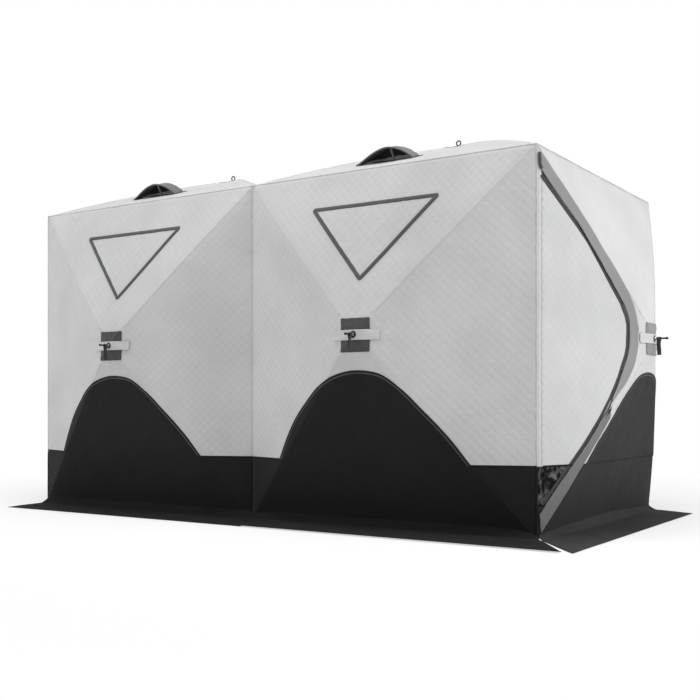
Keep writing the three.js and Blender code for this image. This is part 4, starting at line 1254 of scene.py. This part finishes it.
for side, xu in (("left", -0.9), ("right", 0.9)):
    p = PANELS["roof_" + side]
    o = np.array((xu - 0.14, -0.9, EAVE))
    ex, ey, ez = np.array((1.0, 0, 0)), np.array((0, math.cos(SLOPE), math.sin(SLOPE))), np.array((0, -math.sin(SLOPE), math.cos(SLOPE)))
    VM = frame_matrix(o, ex, ey, ez)
    # the opening's insect mesh: one thin sagging sheet with a woven-looking material
    y0, y1 = up_facet(-0.640), up_facet(-0.552)

    def surf(x, yf):
        """Height of the roof skin over the vent frame's plane."""
        q = o + x * ex + yf * ey
        u, v = q[0] - xu, q[1]
        h = float(p.height(u, v))
        return (h - (q[2] - EAVE)) * math.cos(SLOPE)

    nx, ny = 40, 20
    verts, faces = [], []
    for j in range(ny + 1):
        for i in range(nx + 1):
            x = -0.19 + 0.38 * i / nx
            yf = y0 + (y1 - y0) * j / ny
            e = min(i / nx, 1 - i / nx, j / ny, 1 - j / ny)
            sag = -0.006 * min(1, e * 5)
            q = o + x * ex + yf * ey + (surf(x, yf) - 0.001 + sag) * ez
            verts.append(q)
    for j in range(ny):
        for i in range(nx):
            a = j * (nx + 1) + i
            faces.append((a, a + 1, a + nx + 2, a + nx + 1))
    uv = np.array([(-0.19 + 0.38 * (k_ % (nx + 1)) / nx, (k_ // (nx + 1)) * 0.009) for k_ in range(len(verts))])
    ms = make("vent_screen_" + side, verts, faces, M_MESH, uv=uv)
    solidify(ms, 0.0015)
    ride(ms, "vent_mesh_" + side, "vent_mesh_" + side, slot="mesh")
    # binding around the opening, sewn to the roof
    rect = [(-0.14 - 0.196, -0.646), (-0.14 + 0.196, -0.646), (-0.14 + 0.196, -0.548), (-0.14 - 0.196, -0.548)]
    b = strip("vent_binding_" + side, p, rounded(rect, 0.012, 4), 0.014, 0.0030, M_TRIM, close=True)
    on_panel(b, p)
    # the hood: one bowed cloth over a sprung wire, open to the front
    nx, ny = 84, 30
    HC, DEPTH_ = 0.0, 0.125
    ya = up_facet(-0.652)

    def hood_point(a, t, lift=0.0):
        w = HWF * (1 - 0.03 * t * t)
        h = HH * max(0.0, 1 - t ** 8) ** 0.55 * (0.97 + 0.06 * t)
        x = HC - math.cos(a) * w + 0.034 * math.sin(a)
        yy = ya + DEPTH_ * t * (0.62 + 0.38 * math.sin(a)) - 0.010 * math.sin(a) * (1 - t)
        rise = arch_rise(a) * h
        return x, yy, rise

    verts, uvs, faces = [], [], []
    for j in range(ny + 1):
        t = 1 - (1 - j / ny) ** 1.5
        for i in range(nx + 1):
            a = math.pi * i / nx
            x, yy, rise = hood_point(a, t)
            foot = surf(x, yy) + 0.0035
            wr = 0.0034 * float(noise(x / 0.05 + (3 if side == "left" else 9), yy / 0.07)) * math.sin(a) * (1 - t) ** 0.3
            wr += 0.0018 * math.sin(x * 110 + 30 * t) * math.exp(-((t - 0.9) / 0.12) ** 2) * math.sin(a)
            wr -= 0.0050 * math.sin(a) * math.sin(math.pi * t)
            hz = foot + max(0.0, rise + wr * (1 if 0 < t < 1 else 0.0))
            verts.append(o + x * ex + yy * ey + hz * ez)
            uvs.append((x, yy + rise * 0.3))
    for j in range(ny):
        for i in range(nx):
            a = j * (nx + 1) + i
            faces.append((a, a + 1, a + nx + 2, a + nx + 1))
    hd = make("vent_hood_cloth_" + side, verts, faces, M_HOOD, uv=np.array(uvs))
    solidify(hd, 0.0024)
    me = hd.data
    me.materials.append(M_LINING)
    me.materials.append(M_STRIP)
    mid_ = Vector(o + HC * ex + (ya + 0.07) * ey + 0.01 * ez)
    for poly in me.polygons:
        if poly.normal.dot(mid_ - poly.center) > 0:
            poly.material_index = 1
            # the light hem along the foot of its back, inside
            r_ = np.array(poly.center) - o
            if r_ @ ey > ya + 0.050 and r_ @ ez - surf(float(r_ @ ex), float(r_ @ ey)) < 0.0125:
                poly.material_index = 2
    mesh_body, hood_body = "vent_mesh_" + side, "vent_hood_" + side
    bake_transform(hd)
    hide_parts("vent_hood_" + side)
    # the sprung wire in the front hem, in its bound sleeve
    rim = []
    for i in range(61):
        a = math.pi * i / 60
        x, yy, rise = hood_point(a, 0.0)
        rim.append(o + x * ex + (yy - 0.001) * ey + (surf(x, yy) + 0.0045 + rise) * ez)
    r_ = tube("vent_hem_" + side, rim, 0.0046, M_HOOD, sides=10)
    ride(r_, hood_body, "vent_hood_" + side, slot="mesh")
    # prop stick: pivots on the roof binding and stands under the arch
    foot_ = o + 0.064 * ex + (ya + 0.012) * ey + (surf(0.064, ya + 0.012) + 0.004) * ez
    head_ = o + 0.058 * ex + (ya + 0.000) * ey + (surf(0.058, ya) + HH * 0.97 * arch_rise(math.acos(-0.13)) - 0.001) * ez
    st = tube("vent_prop_" + side, [foot_ + (head_ - foot_) * t for t in np.linspace(0, 1, 8)], 0.0046, M_CAP, sides=10, flat=1.7)
    ride(st, hood_body, "vent_hood_" + side, slot="mesh")

# ------------------------------------------------------------ snow skirt
STRIPS = {
    "front_left": ((-1.814, -0.908), (0.06, -0.908), (-1.746, -1.278), (0.215, -1.286), (0, -1)),
    "front_right": ((-0.01, -0.908), (1.802, -0.908), (0.170, -1.284), (2.084, -1.291), (0, -1)),
    "right_end": ((1.808, -0.902), (1.808, 0.914), (2.134, -1.284), (2.114, 0.772), (1, 0)),
    "back_right": ((1.814, 0.908), (-0.02, 0.908), (1.66, 1.291), (-0.15, 1.289), (0, 1)),
    "back_left": ((0.03, 0.908), (-1.814, 0.908), (-0.19, 1.288), (-1.852, 1.291), (0, 1)),
    "left_end": ((-1.808, 0.914), (-1.808, -0.914), (-2.118, 0.582), (-2.118, -0.582), (-1, 0)),
}


def wall_out(x, y, z, d):
    """How far the wall's skin stands out from its foot: not at all, at any height; z is not used."""
    return 0.0


for si, (nm, (a0, a1, b0, b1, d)) in enumerate(STRIPS.items()):
    a0, a1, b0, b1, d = (np.array(q, float) for q in (a0, a1, b0, b1, d))
    L = np.linalg.norm(a1 - a0)
    na, nb = int(L / 0.016), 34
    top = 0.0045 if nm in ("front_right", "back_left") else 0.0
    verts, uvs, faces = [], [], []
    s_ = np.linspace(0, 1, na + 1)
    for j in range(nb + 1):
        t = (j / nb) ** 1.25
        A = a0[None] + (a1 - a0)[None] * s_[:, None]
        B = b0[None] + (b1 - b0)[None] * s_[:, None]
        pos = A * (1 - t) + B * t
        if nm == "front_right":
            # the free end of the upper strip is cut in a curve
            e = np.clip(1 - s_ / 0.08, 0, 1)
            pos[:, 0] += 0.030 * e * math.sin(math.pi * t)
        dist = np.abs((pos - A) @ d)
        along = s_ * L
        k = si * 7.3
        # the foot: sewn to the wall a little way up, rolled out onto the ground
        taper = np.clip(np.minimum(along, L - along) / (0.7 if nm == "right_end" else 0.12), 0.0, 1) ** 0.6
        roll = (0.050 + 0.006 * noise(along / 0.33 + k, along * 0 + 1.5)) * (0.30 + 0.70 * taper)
        z = roll * np.clip(1 - dist / 0.046, 0, 1) ** 1.15
        shift = 0.09 * z
        wave = (0.0034 * np.abs(noise(along / 0.31 + k, dist / 0.5 + k)) + 0.0018 * np.abs(noise(along / 0.11 - k, dist / 0.16))
                + 0.0007 * noise(along / 0.045, dist / 0.05 + k))
        damp = np.clip((dist - 0.04) / 0.08, 0, 1) * np.clip((1 - t) / 0.12 + 0.25, 0, 1)
        z = z + wave * damp + 0.0024 + top * np.clip(dist / 0.05, 0, 1)
        hem = 0.0014 if t > 0.93 else 0.0
        z = z + hem
        z = np.maximum(z, 0.0023)
        pos = pos + d[None] * shift[:, None]
        edge = 0.0012 * noise(along / 0.19 + k, along * 0 + t) * t
        pos = pos - d[None] * np.abs(edge)[:, None]
        verts.append(np.stack([pos[:, 0], pos[:, 1], z], 1))
        uvs.append(np.stack([along, dist], 1))
    for j in range(nb):
        for i in range(na):
            q = j * (na + 1) + i
            faces.append((q, q + 1, q + na + 2, q + na + 1))
    # the end strip takes the lighter copy of the skirt cloth: painted light
    ob = make("skirt_" + nm, np.concatenate(verts), faces, M_SKIRT_PAINTED_LIT if nm == "right_end" else M_SKIRT, uv=np.concatenate(uvs))
    me = ob.data
    if np.mean([poly.normal.z for poly in me.polygons]) < 0:
        me.flip_normals()
    solidify(ob, 0.0018)
    ride(ob, "root", "snow_skirt", slot="skirt")

# ------------------------------------------------------- floor and lights
mat, nt, bs = material("studio_floor")
k = N(nt)
geo = k.node("ShaderNodeNewGeometry").outputs["Position"]
ln = k.node("ShaderNodeVectorMath", operation="LENGTH")
k.put(ln.inputs[0], geo)
far = k.math("SMOOTH_MAX", k.math("DIVIDE", k.math("SUBTRACT", ln.outputs["Value"], 2.3), 2.0), 0.0, 0.3)
far = k.math("MINIMUM", far, 1.0)
em = k.node("ShaderNodeEmission")
em.inputs[0].default_value = (1, 1, 1, 1)
em.inputs[1].default_value = 1.0
mix = k.node("ShaderNodeMixShader")
fac = k.math("ADD", 0.55, k.math("MULTIPLY", far, 0.45))
k.put(mix.inputs[0], fac)
nt.links.new(bs.outputs[0], mix.inputs[1])
nt.links.new(em.outputs[0], mix.inputs[2])
out = [n_ for n_ in nt.nodes if n_.type == "OUTPUT_MATERIAL"][0]
nt.links.new(mix.outputs[0], out.inputs[0])
bs.inputs["Base Color"].default_value = (0.93, 0.93, 0.93, 1)
bs.inputs["Roughness"].default_value = 0.9
bs.inputs["Specular IOR Level"].default_value = 0.1
floor = make("studio_floor", [(-40, -40, -0.0005), (40, -40, -0.0005), (40, 40, -0.0005), (-40, 40, -0.0005)], [(0, 1, 2, 3)], mat)


def area(name, loc, target, size, power):
    l = bpy.data.lights.new(name, "AREA")
    l.shape = "RECTANGLE"
    l.size, l.size_y = size
    l.energy = power
    ob = bpy.data.objects.new(name, l)
    bpy.context.scene.collection.objects.link(ob)
    ob.location = loc
    ob.rotation_euler = (Vector(target) - Vector(loc)).to_track_quat("-Z", "Y").to_euler()
    return ob


area("key_right", (6.5, -0.4, 2.9), (0.5, 0, 1.0), (3, 3), 182)
area("fill_left", (-6.0, -5.2, 3.5), (-0.5, 0, 1.0), (3, 3), 106)
area("top", (0, -1.8, 7.0), (0, 0, 1), (5, 4), 235)
world = bpy.data.worlds.new("studio")
bpy.context.scene.world = world
world.use_nodes = True
wn = world.node_tree
bg = [n_ for n_ in wn.nodes if n_.type == "BACKGROUND"][0]
lp = wn.nodes.new("ShaderNodeLightPath")
bg.inputs[0].default_value = (1, 1, 1, 1)
bg2 = wn.nodes.new("ShaderNodeBackground")
bg2.inputs[0].default_value = (1, 1, 1, 1)
bg2.inputs[1].default_value = 1.0
bg.inputs[1].default_value = 0.52
mx = wn.nodes.new("ShaderNodeMixShader")
wo = [n_ for n_ in wn.nodes if n_.type == "OUTPUT_WORLD"][0]
wn.links.new(lp.outputs["Is Camera Ray"], mx.inputs[0])
wn.links.new(bg.outputs[0], mx.inputs[1])
wn.links.new(bg2.outputs[0], mx.inputs[2])
wn.links.new(mx.outputs[0], wo.inputs[0])
